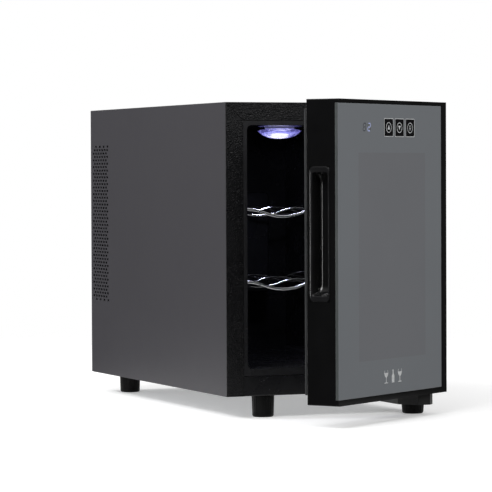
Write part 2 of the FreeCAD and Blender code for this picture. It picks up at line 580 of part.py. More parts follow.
def cooling_train():
    """From the cavity outwards: fan cover, fan, cold sink, spacer, Peltier module, hot sink, fan."""
    body = new_body("cold_fan_cover")
    start = f"({LINER_BACK}-cover_deep)"
    width, tall = "cover_half_width", "cover_half_height"
    extrude(body, "XZ", start, LINER_BACK, rect(f"-{width}", f"{TRAIN}-{tall}", width, f"{TRAIN}+{tall}"))
    limit = -size("cab_depth") / 2 + size("liner_deep") - size("cover_deep")
    soften(body, "liner_corner", lambda edge: edge.BoundBox.YMax < limit + 0.01 or runs(edge, Y))
    inside = f"({width}-cover_wall)"
    high = f"({tall}-cover_wall)"
    pocket(body, "XZ", f"{start}+cover_wall", LINER_BACK,
           rect(f"-{inside}", f"{TRAIN}-{high}", inside, f"{TRAIN}+{high}"))
    first = f"({TRAIN}-grille_pitch*(grille_slots-1)/2)"
    slot = pocket(body, "XZ", start, f"{start}+cover_wall+1",
                  rect("-grille_half", f"{first}-grille_slot/2", "grille_half", f"{first}+grille_slot/2"))
    repeat_along(body, slot, "Z", "grille_pitch*(grille_slots-1)", "grille_slots")
    side_slots = [rect(f"{x}*side_slot", f"{start}+side_slot_ahead", f"{x + 1}*side_slot",
                       f"{LINER_BACK}-side_slot_back") for x in range(-12, 12, 2)]
    pocket(body, "XY", f"{TRAIN}-{tall}-1", f"{TRAIN}+{tall}+1", *side_slots)
    node("cold_fan_cover", body)

    inward = Rotation(X, 90)
    outward = Rotation(X, -90)
    fan("cold_fan_frame", "cold_fan_rotor", "cold_fan_side", "cold_fan_deep", f"{start}+cover_wall", outward)
    finned_sink("cold_sink", "cold_sink_side", "cold_base", "cold_fin", "cold_fins", LINER_BACK, inward)
    half = "spacer_side/2"
    spacer = box((f"-{half}", LINER_BACK, f"{TRAIN}-{half}"), (half, BULKHEAD, f"{TRAIN}+{half}"))
    node("spacer_block", spacer)
    module = box((f"-{half}", BULKHEAD, f"{TRAIN}-{half}"),
                 (half, f"{BULKHEAD}+module_thick", f"{TRAIN}+{half}"))
    node("thermoelectric_module", module)
    hot = f"({BULKHEAD}+module_thick)"
    finned_sink("hot_heat_sink", "hot_sink_side", "hot_base", "hot_fin", "hot_fins", hot, outward)
    fan("exhaust_fan_frame", "exhaust_fan_rotor", "hot_fan_side", "hot_fan_deep",
        f"{hot}+hot_base+hot_fin", outward)


def rear_cover():
    """Vented plate over the machine space, its screws, the mains inlet and the supply board."""
    edge = f"({SHELL}-fit_gap)"
    start, end = f"({FLANGE}+skin)", f"({FLANGE}+skin+rear_wall)"
    body = new_body("rear_cover")
    extrude(body, "XZ", start, end, rect(f"-{edge}", LOW, edge, ROOF))
    first = f"({TRAIN}-rear_slot_span/2)"
    slot = pocket(body, "XZ", start, end,
                  rect("-rear_slot_half", f"{first}-rear_slot/2", "rear_slot_half", f"{first}+rear_slot/2"))
    repeat_along(body, slot, "Z", "rear_slot_span", "rear_slots")
    middle, half, tall = f"({LOW}+inlet_high)", "(inlet_half+fit_gap)", "(inlet_tall+fit_gap)"
    pocket(body, "XZ", start, end,
           rect(f"-inlet_across-{half}", f"{middle}-{tall}", f"-inlet_across+{half}", f"{middle}+{tall}"))
    spots = [(f"{sign}*{SCREW_ACROSS}", height) for sign in ("-1", "1") for height in COVER_SCREWS]
    pocket(body, "XZ", start, end, *[(x, z, "screw_radius+fit_gap") for x, z in spots])
    node("rear_cover", body)
    screws = []
    for x, z in spots:
        shank = cylinder((x, f"{FLANGE}-screw_long", z), "screw_radius", "screw_long+skin+rear_wall+0.5", "y")
        screws.append(fuse(shank, cylinder((x, end, z), "screw_head", "cover_setback-fit_gap", "y")))
    node("rear_cover_screws", group(*screws))

    inlet = new_body("power_inlet")
    lip = f"({end}+inlet_lip)"
    flange = rect("-inlet_flange", "-inlet_flange_tall", "inlet_flange", "inlet_flange_tall")
    extrude(inlet, "XZ", end, lip, flange)
    shroud = rect("-inlet_half", "-inlet_tall", "inlet_half", "inlet_tall")
    extrude(inlet, "XZ", f"{end}-inlet_deep", end, shroud)
    half, tall = "(inlet_half-inlet_wall)", "(inlet_tall-inlet_wall)"
    pocket(inlet, "XZ", f"{end}-inlet_hollow", lip, rect(f"-{half}", f"-{tall}", half, tall))
    contacts = [("-contact_across", "-contact_high"), ("0", "contact_high"), ("contact_across", "-contact_high")]
    for x, z in contacts:
        extrude(inlet, "XZ", f"{end}-inlet_hollow-1", f"{end}-3", rect(f"{x}-1", f"{z}-2", f"{x}+1", f"{z}+2"))
    place(inlet, "-inlet_across", "0", f"{LOW}+inlet_high")
    node("power_inlet", inlet)

    face = f"({BULKHEAD}+skin)"
    middle = f"({LOW}+board_high)"
    card = f"({face}+pillar_long)"
    half, up = "board_width/2", "board_tall/2"
    top = f"({card}+board_thick)"
    pieces = [box((f"-{half}", card, f"{middle}-{up}"), (half, top, f"{middle}+{up}"))]
    for sx in ("-1", "1"):
        for sz in ("-1", "1"):
            spot = (f"{sx}*({half}-pillar_inset)", face, f"{middle}+{sz}*({up}-pillar_inset)")
            pieces.append(cylinder(spot, "pillar_radius", "pillar_long", "y"))
    # transformer and terminal block: left, bottom, right, top and rise
    for left, down, right, above, rise in ((-46, -16, -12, 14, 24), (0, -22, 44, -12, 10)):
        far = (str(right), f"{top}+{rise}", f"{middle}+{above}")
        pieces.append(box((str(left), top, f"{middle}+{down}"), far))
    # capacitors: place across and up, radius and rise
    for across, above, radius, rise in ((6, 8, 9, 22), (30, 10, 6, 18), (46, 10, 6, 18)):
        pieces.append(cylinder((str(across), top, f"{middle}+{above}"), str(radius), str(rise), "y"))
    node("power_board", group(*pieces))


def lamp():
    """Ceiling lamp: a round board in the liner's roof, a ring under it and a clear domed lens."""
    y = f"({FRONT}+lamp_back)"
    ring_low = f"({MOUTH_HIGH}-bezel_thick)"
    ring = cylinder(("0", y, ring_low), "lamp_bezel_radius", "bezel_thick")
    node("lamp_bezel", cut(ring, cylinder(("0", y, f"{ring_low}-1"), "lamp_bezel_hole", "bezel_thick+2")))
    node("lamp_board", group(cylinder(("0", y, MOUTH_HIGH), "lamp_board_radius", "1.6")))
    body = new_body("lamp_lens")
    drop = "lamp_deep"
    revolve(body, [("0", f"-{drop}"), ("lamp_radius*0.45", f"-{drop}*0.93"),
                   ("lamp_radius*0.78", f"-{drop}*0.66"), ("lamp_radius", f"-{drop}*0.24"), ("lamp_bezel_radius-1", "0"), ("0", "0")])
    place(body, "0", y, ring_low)
    node("lamp_lens", body)

    sensor = new_body("temperature_sensor")
    across, up = f"({FRONT}+sensor_back)", f"({LOW}+sensor_high)"
    extrude(sensor, "YZ", f"-{MOUTH}", f"-{MOUTH}+sensor_thick",
            rect(f"{across}-sensor_half", f"{up}-sensor_tall", f"{across}+sensor_half", f"{up}+sensor_tall"))
    face = size("frame_width") + size("rim_width") + size("sensor_thick") - size("cab_width") / 2
    soften(sensor, "small_round", lambda edge: edge.BoundBox.XMin > face - 0.1)
    node("temperature_sensor", sensor)


# ---- door ----

def door_frame():
    """Two full-height stiles and two rails; their front lips frame the outer glass."""
    back_of_glass = f"({OUTER}+glass_thick)"
    lip_high, lip_low = f"({ROOF}-border_top)", f"({LOW}+border_bottom)"
    profile = [(OUTER, LOW), (INNER, LOW), (INNER, ROOF), (OUTER, ROOF), (OUTER, lip_high),
               (back_of_glass, lip_high), (back_of_glass, lip_low), (OUTER, lip_low)]
    front = -size("cab_depth") / 2
    outer = front - size("door_gap") - size("door_thick")

    free = new_body("door_stile_free")
    extrude(free, "YZ", f"-{SIDE}", STILE_FREE, profile)
    left = -size("cab_width") / 2
    soften(free, "edge_round", lambda edge: edge.BoundBox.XMax < left + 0.01 and edge.BoundBox.YMax > outer + 20)
    bezel_in, bezel_out = f"({INNER}-bezel_inner+seam)", f"({INNER}-bezel_inner-bezel_width-seam)"
    low, high = f"({LOW}+bezel_low-seam)", f"({LOW}+bezel_low+bezel_tall+seam)"
    pocket(free, "YZ", f"-{SIDE}-1", f"-{SIDE}+bezel_sunk", rect(bezel_out, low, bezel_in, high))
    pocket(free, "YZ", f"-{SIDE}-1", f"-{SIDE}+recess_deep+cup_wall+bezel_sunk+fit_gap", cup_outline("fit_gap"))
    node("door_stile_free", free, on_door=True)

    hinge = new_body("door_stile_hinge")
    extrude(hinge, "YZ", STILE_HINGE, SIDE, profile)
    extrude(hinge, "XZ", OUTER, back_of_glass, rect(GLASS_RIGHT, lip_low, SIDE, lip_high))
    soften(hinge, "edge_round", lambda edge: edge.BoundBox.XMin > -left - 0.01 and runs(edge, Z))
    seat = f"({ROOF}-pocket_deep)"
    pocket(hinge, "XY", seat, f"{ROOF}+1",
           rect(f"{AXIS_X}-plate_half-1", f"{AXIS_Y}-pocket_ahead", f"{SIDE}+1", f"{INNER}+1"))
    pocket(hinge, "XY", f"{seat}-bush_long-seam", seat, (AXIS_X, AXIS_Y, "bush_radius"))
    pocket(hinge, "XY", f"{LOW}", f"{LOW}+bush_long+seam", (AXIS_X, AXIS_Y, "bush_radius"))
    node("door_stile_hinge", hinge, on_door=True)

    high, low = f"{ROOF}-rail_top", f"{LOW}+rail_bottom"
    for label, outline in (
        ("door_rail_top", [(back_of_glass, high), (INNER, high), (INNER, ROOF), (OUTER, ROOF),
                           (OUTER, lip_high), (back_of_glass, lip_high)]),
        ("door_rail_bottom", [(back_of_glass, lip_low), (OUTER, lip_low), (OUTER, LOW), (INNER, LOW),
                              (INNER, low), (back_of_glass, low)]),
    ):
        rail = new_body(label)
        extrude(rail, "YZ", STILE_FREE, STILE_HINGE, outline)
        node(label, rail, on_door=True)


def cup_outline(extra):
    """Outside of the handle cup, with a margin."""
    near = f"({INNER}-recess_inner+cup_wall+{extra})"
    far = f"({INNER}-recess_inner-recess_width-cup_wall-{extra})"
    low = f"{LOW}+recess_low-cup_wall-{extra}"
    return rect(far, low, near, f"{LOW}+recess_low+recess_tall+cup_wall+{extra}")


def handle():
    """Finger pull sunk in the free edge: a cup with scooped ends behind a rounded bezel."""
    near, far = f"({INNER}-recess_inner)", f"({INNER}-recess_inner-recess_width)"
    low, high = f"({LOW}+recess_low)", f"({LOW}+recess_low+recess_tall)"
    mouth = rect(far, low, near, high)
    plate = new_body("handle_bezel")
    extrude(plate, "YZ", f"-{SIDE}-bezel_proud", f"-{SIDE}+bezel_sunk",
            rect(f"{INNER}-bezel_inner-bezel_width", f"{LOW}+bezel_low", f"{INNER}-bezel_inner",
                 f"{LOW}+bezel_low+bezel_tall"))
    soften(plate, "bezel_round", lambda edge: runs(edge, X))
    pocket(plate, "YZ", f"-{SIDE}-bezel_proud", f"-{SIDE}+bezel_sunk", mouth)
    inner_x = -size("cab_width") / 2 + size("bezel_sunk")
    node("handle_bezel", plate, on_door=True)

    cup = new_body("handle_cup")
    floor = f"(-{SIDE}+bezel_sunk+recess_deep)"
    extrude(cup, "YZ", f"-{SIDE}+bezel_sunk", f"{floor}+cup_wall", cup_outline("0"))
    pocket(cup, "YZ", f"-{SIDE}+bezel_sunk", floor, mouth)
    deep = inner_x + size("recess_deep")
    soften(cup, "scoop_round", lambda edge: runs(edge, Y) and abs(edge.BoundBox.XMin - deep) < 0.01
           and edge.Length < size("recess_width") + 0.1)
    node("handle_cup", cup, on_door=True)


def glazing():
    """Mirror glass outside, clear pane inside, and the frame that keeps them apart."""
    back_of_glass = f"({OUTER}+glass_thick)"
    glass = new_body("door_outer_glass")
    extrude(glass, "XZ", OUTER, back_of_glass,
            rect(f"-{SIDE}", f"{LOW}+border_bottom+fit_gap", f"{GLASS_RIGHT}-fit_gap",
                 f"{ROOF}-border_top-fit_gap"))
    node("door_outer_glass", glass, on_door=True)

    lap = "pane_lap"
    edges = (f"{WINDOW_LEFT}-{lap}", f"{WINDOW_LOW}-{lap}", f"{WINDOW_RIGHT}+{lap}", f"{WINDOW_HIGH}+{lap}")
    plate_face = f"({INNER}-inner_plate)"
    pane_face = f"({plate_face}-pane_thick)"
    pane = new_body("door_inner_glass")
    extrude(pane, "XZ", pane_face, plate_face, rect(*edges))
    node("door_inner_glass", pane, on_door=True)

    spacer = new_body("glass_spacer")
    extrude(spacer, "XZ", back_of_glass, pane_face, rect(*edges))
    inset = [f"({start}){sign}spacer_wall" for start, sign in zip(edges, "++--")]
    pocket(spacer, "XZ", back_of_glass, pane_face, rect(*inset))
    node("glass_spacer", spacer, on_door=True)

    panel = new_body("door_inner_frame")
    extrude(panel, "XZ", plate_face, INNER, rect(f"{STILE_FREE}+fit_gap", f"{LOW}+rail_bottom+fit_gap",
                                                 f"{STILE_HINGE}-fit_gap", f"{ROOF}-rail_top-fit_gap"))
    pocket(panel, "XZ", plate_face, INNER, rect(WINDOW_LEFT, WINDOW_LOW, WINDOW_RIGHT, WINDOW_HIGH))
    node("door_inner_frame", panel, on_door=True)


def seal():
    """Magnetic gasket on the door's inner face, with a strip of magnet in its back."""
    ring = ["-" + SIDE + "+gasket_free", f"{LOW}+gasket_end", AXIS_X, f"{ROOF}-gasket_end"]

    def inset(amount):
        return rect(*[f"({place_at}){sign}({amount})" for place_at, sign in zip(ring, "++--")])

    body = new_body("door_gasket")
    extrude(body, "XZ", INNER, f"{FRONT}-gasket_clear", inset("0"), inset("gasket_width"))
    margin = "((gasket_width-magnet_width)/2)"
    pocket(body, "XZ", INNER, f"{INNER}+magnet_thick+fit_gap", inset(f"{margin}-fit_gap"),
           inset(f"{margin}+magnet_width+fit_gap"))
    node("door_gasket", body, on_door=True)
    strip = new_body("gasket_magnet")
    extrude(strip, "XZ", INNER, f"{INNER}+magnet_thick", inset(margin), inset(f"{margin}+magnet_width"))
    node("gasket_magnet", strip, on_door=True)


def controls():
    """Touch keys printed on the glass, and the display and board behind it."""
    middle = f"({LOW}+key_low+key_side/2)"
    for step, label in enumerate(("touch_key_up", "touch_key_down", "touch_key_lamp")):
        centre = f"(-{SIDE}+key_first+{step}*key_pitch)"
        key = new_body(label)
        extrude(key, "XZ", f"{OUTER}-key_thick", OUTER,
                rect(f"{centre}-key_side/2", f"{middle}-key_side/2",
                     f"{centre}+key_side/2", f"{middle}+key_side/2"))
        soften(key, "small_round", lambda edge: runs(edge, Y))
        node(label, key, on_door=True)
    start = f"(-{SIDE}+display_start)"
    face = f"({OUTER}+glass_thick)"
    display = new_body("temperature_display")
    extrude(display, "XZ", face, f"{face}+display_deep",
            rect(start, f"{middle}-display_half", f"{start}+display_width", f"{middle}+display_half"))
    node("temperature_display", display, on_door=True)
    board = new_body("control_board")
    last = f"(-{SIDE}+key_first+2*key_pitch+key_side/2)"
    extrude(board, "XZ", f"{face}+display_deep", f"{face}+display_deep+board_thick",
            rect(f"{start}-4", f"{middle}-board_half", f"{last}+6", f"{middle}+board_half"))
    pads = [(f"(-{SIDE}+key_first+{step}*key_pitch)", middle, "key_sensor") for step in range(3)]
    extrude(board, "XZ", face, f"{face}+display_deep", *pads)
    node("control_board", board, on_door=True)


# ---- hinges and feet ----

def hinges():
    """Pins that the door turns on, held in a plate let into the roof and a bracket under the cabinet."""
    top = f"({ROOF}-plate_sunk)"
    under = f"({top}-plate_thick)"
    plate = new_body("upper_hinge_plate")
    extrude(plate, "XY", under, top,
            rect(f"{AXIS_X}-plate_half", AXIS_Y, f"{AXIS_X}+plate_half", f"{FRONT}+plate_back"))
    extrude(plate, "XY", under, top, (AXIS_X, AXIS_Y, "plate_half"))
    pocket(plate, "XY", under, top, (AXIS_X, AXIS_Y, "pin_radius+pin_gap"))
    pocket(plate, "XY", under, top, (*PLATE_SCREW, "screw_radius+fit_gap"))
    node("upper_hinge_plate", plate)
    node("hinge_plate_screws", group(cylinder((*PLATE_SCREW, f"{under}-8"), "screw_radius", "8+plate_thick")))
    pin = cylinder((AXIS_X, AXIS_Y, f"{under}-bush_long+2"), "pin_radius", "bush_long-2+plate_thick")
    node("upper_hinge_pin", group(pin))
    seat = f"({ROOF}-pocket_deep)"
    upper = cylinder((AXIS_X, AXIS_Y, f"{seat}-bush_long"), "bush_radius-pin_gap", "bush_long")
    upper_bore = cylinder((AXIS_X, AXIS_Y, f"{seat}-bush_long-1"), "pin_radius+running_gap", "bush_long+2")
    node("upper_hinge_bush", cut(upper, upper_bore), on_door=True)

    low_face = f"({LOW}-bracket_deep)"
    step = f"({LOW}-bracket_drop)"
    bracket = new_body("lower_hinge_bracket")
    nose, heel = f"{FRONT}-bracket_front", f"{FRONT}+bracket_back"
    plan = [(BRACKET_LEFT, heel), (BRACKET_LEFT, f"{nose}+22"), (f"{BRACKET_LEFT}+16", nose),
            (f"{BRACKET_RIGHT}-6", nose), (BRACKET_RIGHT, f"{nose}+6"), (BRACKET_RIGHT, heel)]
    extrude(bracket, "XY", low_face, step, plan)
    extrude(bracket, "XY", step, LOW, rect(BRACKET_LEFT, f"{FRONT}+1", BRACKET_RIGHT, heel))
    pocket(bracket, "XY", f"{low_face}+short_stud+1", step, (AXIS_X, AXIS_Y, "pin_radius+pin_gap"))
    pocket(bracket, "XY", low_face, f"{low_face}+short_stud+seam", (*HINGE_FOOT, "stud_radius+running_gap"))
    node("lower_hinge_bracket", bracket)
    pin_start = f"({low_face}+short_stud+1)"
    pin = cylinder((AXIS_X, AXIS_Y, pin_start), "pin_radius", f"{LOW}+bush_long-2-({pin_start})")
    node("lower_hinge_pin", group(pin))
    sleeve = cylinder((AXIS_X, AXIS_Y, LOW), "bush_radius-pin_gap", "bush_long")
    flange = cylinder((AXIS_X, AXIS_Y, f"{LOW}-bush_flange"), "bush_radius+1.5", "bush_flange")
    lower_bore = cylinder((AXIS_X, AXIS_Y, f"{LOW}-2"), "pin_radius+running_gap", "bush_long+4")
    node("lower_hinge_bush", cut(fuse(sleeve, flange), lower_bore), on_door=True)


def foot(label, x, y, height, stud):
    """Fluted levelling foot that turns on its own stud."""
    body = new_body(label)
    top = f"({height}-foot_clear)"
    revolve(body, [("0", "0"), ("foot_bottom", "0"), ("foot_top", top), ("stud_radius", top),
                   ("stud_radius", f"{height}+{stud}"), ("0", f"{height}+{stud}")])
    soften(body, "foot_round", lambda edge: edge.BoundBox.ZMax < 0.01 and edge.Length > 20)
    flute = pocket(body, "XY", "foot_round+0.5", f"{top}-1.5", ("foot_top+0.1", "0", "flute_radius"))
    repeat_round(body, flute, "flutes")
    place(body, x, y, "0")
    node(label, body)


def feet():
    for label, (x, y) in zip(("foot_front_left", "foot_rear_left", "foot_rear_right"), PAN_FEET):
        foot(label, x, y, "foot_height", "stud_long")
    foot("foot_front_right", *HINGE_FOOT, "(foot_height-bracket_deep)", "short_stud")


shell()
front_frame()
liner()
foam()
shelf("shelf_upper")
shelf("shelf_lower")
cooling_train()
rear_cover()
lamp()
door_frame()
handle()
glazing()
seal()
controls()
hinges()
feet()
doc.recompute()


# ---- checks and files ----

def check():
    """Stop on a failed feature, a pocket that cuts nothing, or a sub-part that isn't a valid solid."""
    for thing in doc.Objects:
        if {"Invalid", "Error"} & set(thing.State):
            raise RuntimeError(f"{thing.Label} ({thing.Name}) failed: {thing.State}")
        if thing.TypeId == "PartDesign::Pocket" and thing.BaseFeature.Shape.Volume - thing.Shape.Volume < 1e-3:
            raise RuntimeError(f"{thing.Label} cuts nothing")
    for thing in nodes:
        shape = thing.Shape
        if shape.isNull() or not shape.isValid() or not shape.Solids:
            raise RuntimeError(f"{thing.Label} isn't a valid solid")


check()
os.makedirs("parts", exist_ok=True)
for thing in nodes:
    thing.Shape.exportStep(f"parts/{thing.Label}.step")
    print(f"{thing.Label:24} solids {len(thing.Shape.Solids):2}  volume {thing.Shape.Volume / 1000:9.2f} cm3")
print(len(nodes), "nodes")
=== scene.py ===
import json
import math

import bmesh
import bpy
import numpy as np
from mathutils import Matrix, Quaternion, Vector


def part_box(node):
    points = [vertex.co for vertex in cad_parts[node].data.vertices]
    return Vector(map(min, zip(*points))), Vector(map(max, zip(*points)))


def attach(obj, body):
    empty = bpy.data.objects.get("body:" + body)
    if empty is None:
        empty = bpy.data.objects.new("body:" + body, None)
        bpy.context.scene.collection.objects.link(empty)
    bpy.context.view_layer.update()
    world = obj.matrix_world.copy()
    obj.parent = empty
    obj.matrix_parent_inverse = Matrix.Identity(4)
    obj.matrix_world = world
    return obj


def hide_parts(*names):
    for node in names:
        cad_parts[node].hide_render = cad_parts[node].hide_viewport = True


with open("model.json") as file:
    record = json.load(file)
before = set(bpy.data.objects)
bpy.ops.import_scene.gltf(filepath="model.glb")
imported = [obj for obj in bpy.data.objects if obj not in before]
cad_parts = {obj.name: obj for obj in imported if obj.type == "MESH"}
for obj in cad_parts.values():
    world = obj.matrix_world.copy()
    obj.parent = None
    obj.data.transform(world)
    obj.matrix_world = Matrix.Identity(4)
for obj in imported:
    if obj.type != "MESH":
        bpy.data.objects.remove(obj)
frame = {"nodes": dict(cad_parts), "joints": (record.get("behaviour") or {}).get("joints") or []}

bl_info = {
    "name": "Small Wine Cooler",
    "version": (1, 0, 0),
    "blender": (4, 5, 0),
    "location": "View3D > Sidebar > Cooler",
    "description": "Finishes and fine parts of a small wine cooler, built round its fixed frame",
    "category": "Object",
}

MM = 0.001

# Light and floor: reach from the middle in metres, shares of full light
AIM = (0, 0, 0.2)
FLOOR_FULL_REACH = 0.45
FLOOR_CLEAR_SHARE = 0.95
FLOOR_GLOW = 0.30
MIRRORED_STRETCH = 1.7
DARK_BELOW, BRIGHT_ABOVE, DARK_STRENGTH = 0.22, 0.85, 0.06
LAMP_POWER, LAMP_WIDTH, LAMP_TINT = 0.09, 0.03, (0.72, 0.75, 1.0)

# How much paler than the plain black of their neighbours these are; for the bezel this is painted highlight,
# for the cup painted reflection
SILL_PALER, BEZEL_PAINTED_HIGHLIGHT, CUP_PAINTED_REFLECTION = 1.8, 3.0, 2.0

# Places on the outer glass, from its lower left corner and from the display's middle
EMBLEM_ACROSS, EMBLEM_UP = 122.5 * MM, 12.6 * MM
DIGIT_ACROSS, DIGIT_THICK, DIGIT_LEAN = 5.4 * MM, 0.62 * MM, 0.12

# Diodes under the lamp's board
DIODE_CIRCLE, DIODE_HALF, DIODE_DOME = 5.0 * MM, 1.4 * MM, 1.0 * MM


# ---- places taken from the frame ----

def joint(name):
    return next(entry for entry in frame["joints"] if entry["name"] == name)


def middle(node):
    low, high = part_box(node)
    return (low + high) / 2


AJAR = -math.radians(joint("door_hinge")["range_deg"][0])
PIVOT = Vector((*middle("upper_hinge_pin").xy, 0))
SWING = Matrix.Translation(PIVOT) @ Matrix.Rotation(AJAR, 4, "Z") @ Matrix.Translation(-PIVOT)


def shut_box(node):
    """Corners of a door node with the door turned shut, where its sides run along the axes."""
    back = SWING.inverted()
    points = np.array([back @ vertex.co for vertex in frame["nodes"][node].data.vertices])
    return Vector(points.min(0)), Vector(points.max(0))


# ---- what a user may change ----

def length(name, description, default, low=0.0, high=1.0):
    return bpy.props.FloatProperty(name=name, description=description, default=default, min=low, max=high,
                                   unit="LENGTH", precision=5)


def colour(name, description, red, green, blue):
    return bpy.props.FloatVectorProperty(name=name, description=description,
                                         default=(red, green, blue), size=3,
                                         min=0.0, max=1.0, subtype="COLOR")


def power(name, description, watts):
    return bpy.props.FloatProperty(name=name, description=description, default=watts, subtype="POWER")


def angle(name, description, degrees):
    return bpy.props.FloatProperty(name=name, description=description, default=math.radians(degrees),
                                   subtype="ANGLE")


def paler(tint, times):
    return [times * share for share in tint]


class CoolerSizes(bpy.types.PropertyGroup):
    """Sizes of the fine parts that the frame leaves out."""
    fold: length("Sheet fold", "Rounding of folded and cut sheet edges", 0.3 * MM)
    mould: length("Mould edge", "Rounding of moulded plastic edges", 0.5 * MM)
    arris: length("Glass arris", "Ground edge round the outer glass", 0.45 * MM)
    pane_lap: length("Pane lap", "How far the inner pane reaches behind its frame", 6 * MM)
    cup_wall: length("Cup wall", "Wall of the handle cup", 1.6 * MM)
    bezel_proud: length("Bezel roll", "Height of the roll round the handle bezel", 0.8 * MM)
    scoop: length("Scoop", "Radius of the scooped ends of the handle cup", 13 * MM)
    print_line: length("Printed line", "Width of the lines printed on the keys", 0.8 * MM)
    print_lift: length("Print thickness", "Thickness of what is printed on the glass", 0.03 * MM)
    key_ring: length("Key ring", "Radius of the ring printed on each key", 6.1 * MM)
    digit_width: length("Digit width", "Width of one digit of the display", 5.6 * MM)
    digit_height: length("Digit height", "Height of one digit of the display", 8.6 * MM)
    digit_pitch: length("Digit pitch", "Distance between the two digits", 10.5 * MM)
    emblem_height: length("Emblem height", "Height of the glass and bottle emblem", 15 * MM)
    lens_facets: bpy.props.IntProperty(name="Lens facets",
                                       description="Facets in each ring of the lamp's lens",
                                       default=24, min=8, max=64)


class CoolerColours(bpy.types.PropertyGroup):
    """Colours of the finishes."""
    # Grey of the sides and top is painted light: the cabinet is the same black as the front frame, drawn
    # lighter where the key light falls
    side_tint_painted_light: colour("Side paint", "Grey enamel of the sides and the top", 0.066, 0.064, 0.072)
    zinc: colour("Zinc", "Plated sheet inside the machine space", 0.42, 0.43, 0.44)
    frame_black: colour("Front frame", "Pebbled black of the front frame", 0.005, 0.005, 0.0058)
    liner_black: colour("Liner", "Moulded black of the liner", 0.023, 0.023, 0.025)
    gloss_black: colour("Door black", "Polished black of the door's frame", 0.0035, 0.0035, 0.0038)
    # The grey of the outer glass is partly its backing and partly painted reflection of the bright
    # surroundings
    mirror: colour("Mirror glass", "Smoked grey of the outer glass", 0.285, 0.302, 0.322)
    # The window's grey is painted reflection of the bright surroundings
    smoke_painted_reflection: colour("Smoked window", "Tint of the window in the outer glass", 0.318, 0.326, 0.348)
    chrome: colour("Chrome", "Plated wire of the shelves", 0.80, 0.80, 0.82)
    # Also the colour of the painted glow on the lamp's ring, standing in for the diodes' light thrown back
    # off it
    lamp: colour("Lamp glow", "Light of the lamp's diodes", 0.55, 0.55, 1.0)
    digits: colour("Digits", "Light of the display", 0.40, 0.46, 0.80)
    prints: colour("Print", "Pale ink of the keys", 0.85, 0.87, 0.88)
    gasket: colour("Gasket", "Grey flexible gasket", 0.035, 0.036, 0.038)
    rubber: colour("Feet", "Black plastic of the feet", 0.0035, 0.0035, 0.0035)


class CoolerStudio(bpy.types.PropertyGroup):
    """The stage round the cooler."""
    camera_place: bpy.props.FloatVectorProperty(name="Camera place",
                                                description="Where the camera stands",
                                                default=(-1.3572, -3.2819, 0.2892), size=3,
                                                subtype="TRANSLATION", unit="LENGTH")
    camera_yaw: angle("Camera yaw", "Turn of the view from +Y towards +X", 22.425)
    camera_pitch: angle("Camera pitch", "Tilt of the view below the horizon", 1.507)
    camera_roll: angle("Camera roll", "Roll of the camera", -0.246)
    camera_lens: bpy.props.FloatProperty(name="Lens", description="Focal length in millimetres",
                                         default=205.73)
    floor_radius: length("Floor radius", "Radius of the pale floor", 1.6, high=20)
    key_power: power("Key light", "Power of the large light over the left", 34.0)
    front_power: power("Front light", "Power of the light by the camera", 30.0)
    strip_power: power("Strip lights", "Power of each tall strip on the left", 7.0)
    spark_power: power("Small light", "Power of the small light over the handle", 14.0)


# ---- meshes ----

def rounded(low, high, radius, steps=6):
    """Points round a rectangle with rounded corners, as (across, up) pairs."""
    corners = (((high[0] - radius, low[1] + radius), -90), ((high[0] - radius, high[1] - radius), 0),
               ((low[0] + radius, high[1] - radius), 90), ((low[0] + radius, low[1] + radius), 180))
    points = []
    for (across, up), first in corners:
        for step in range(steps + 1):
            turn = math.radians(first + 90 * step / steps)
            points.append((across + radius * math.cos(turn), up + radius * math.sin(turn)))
    return points


def between(start, end, share):
    return [a + (b - a) * share for a, b in zip(start, end)]


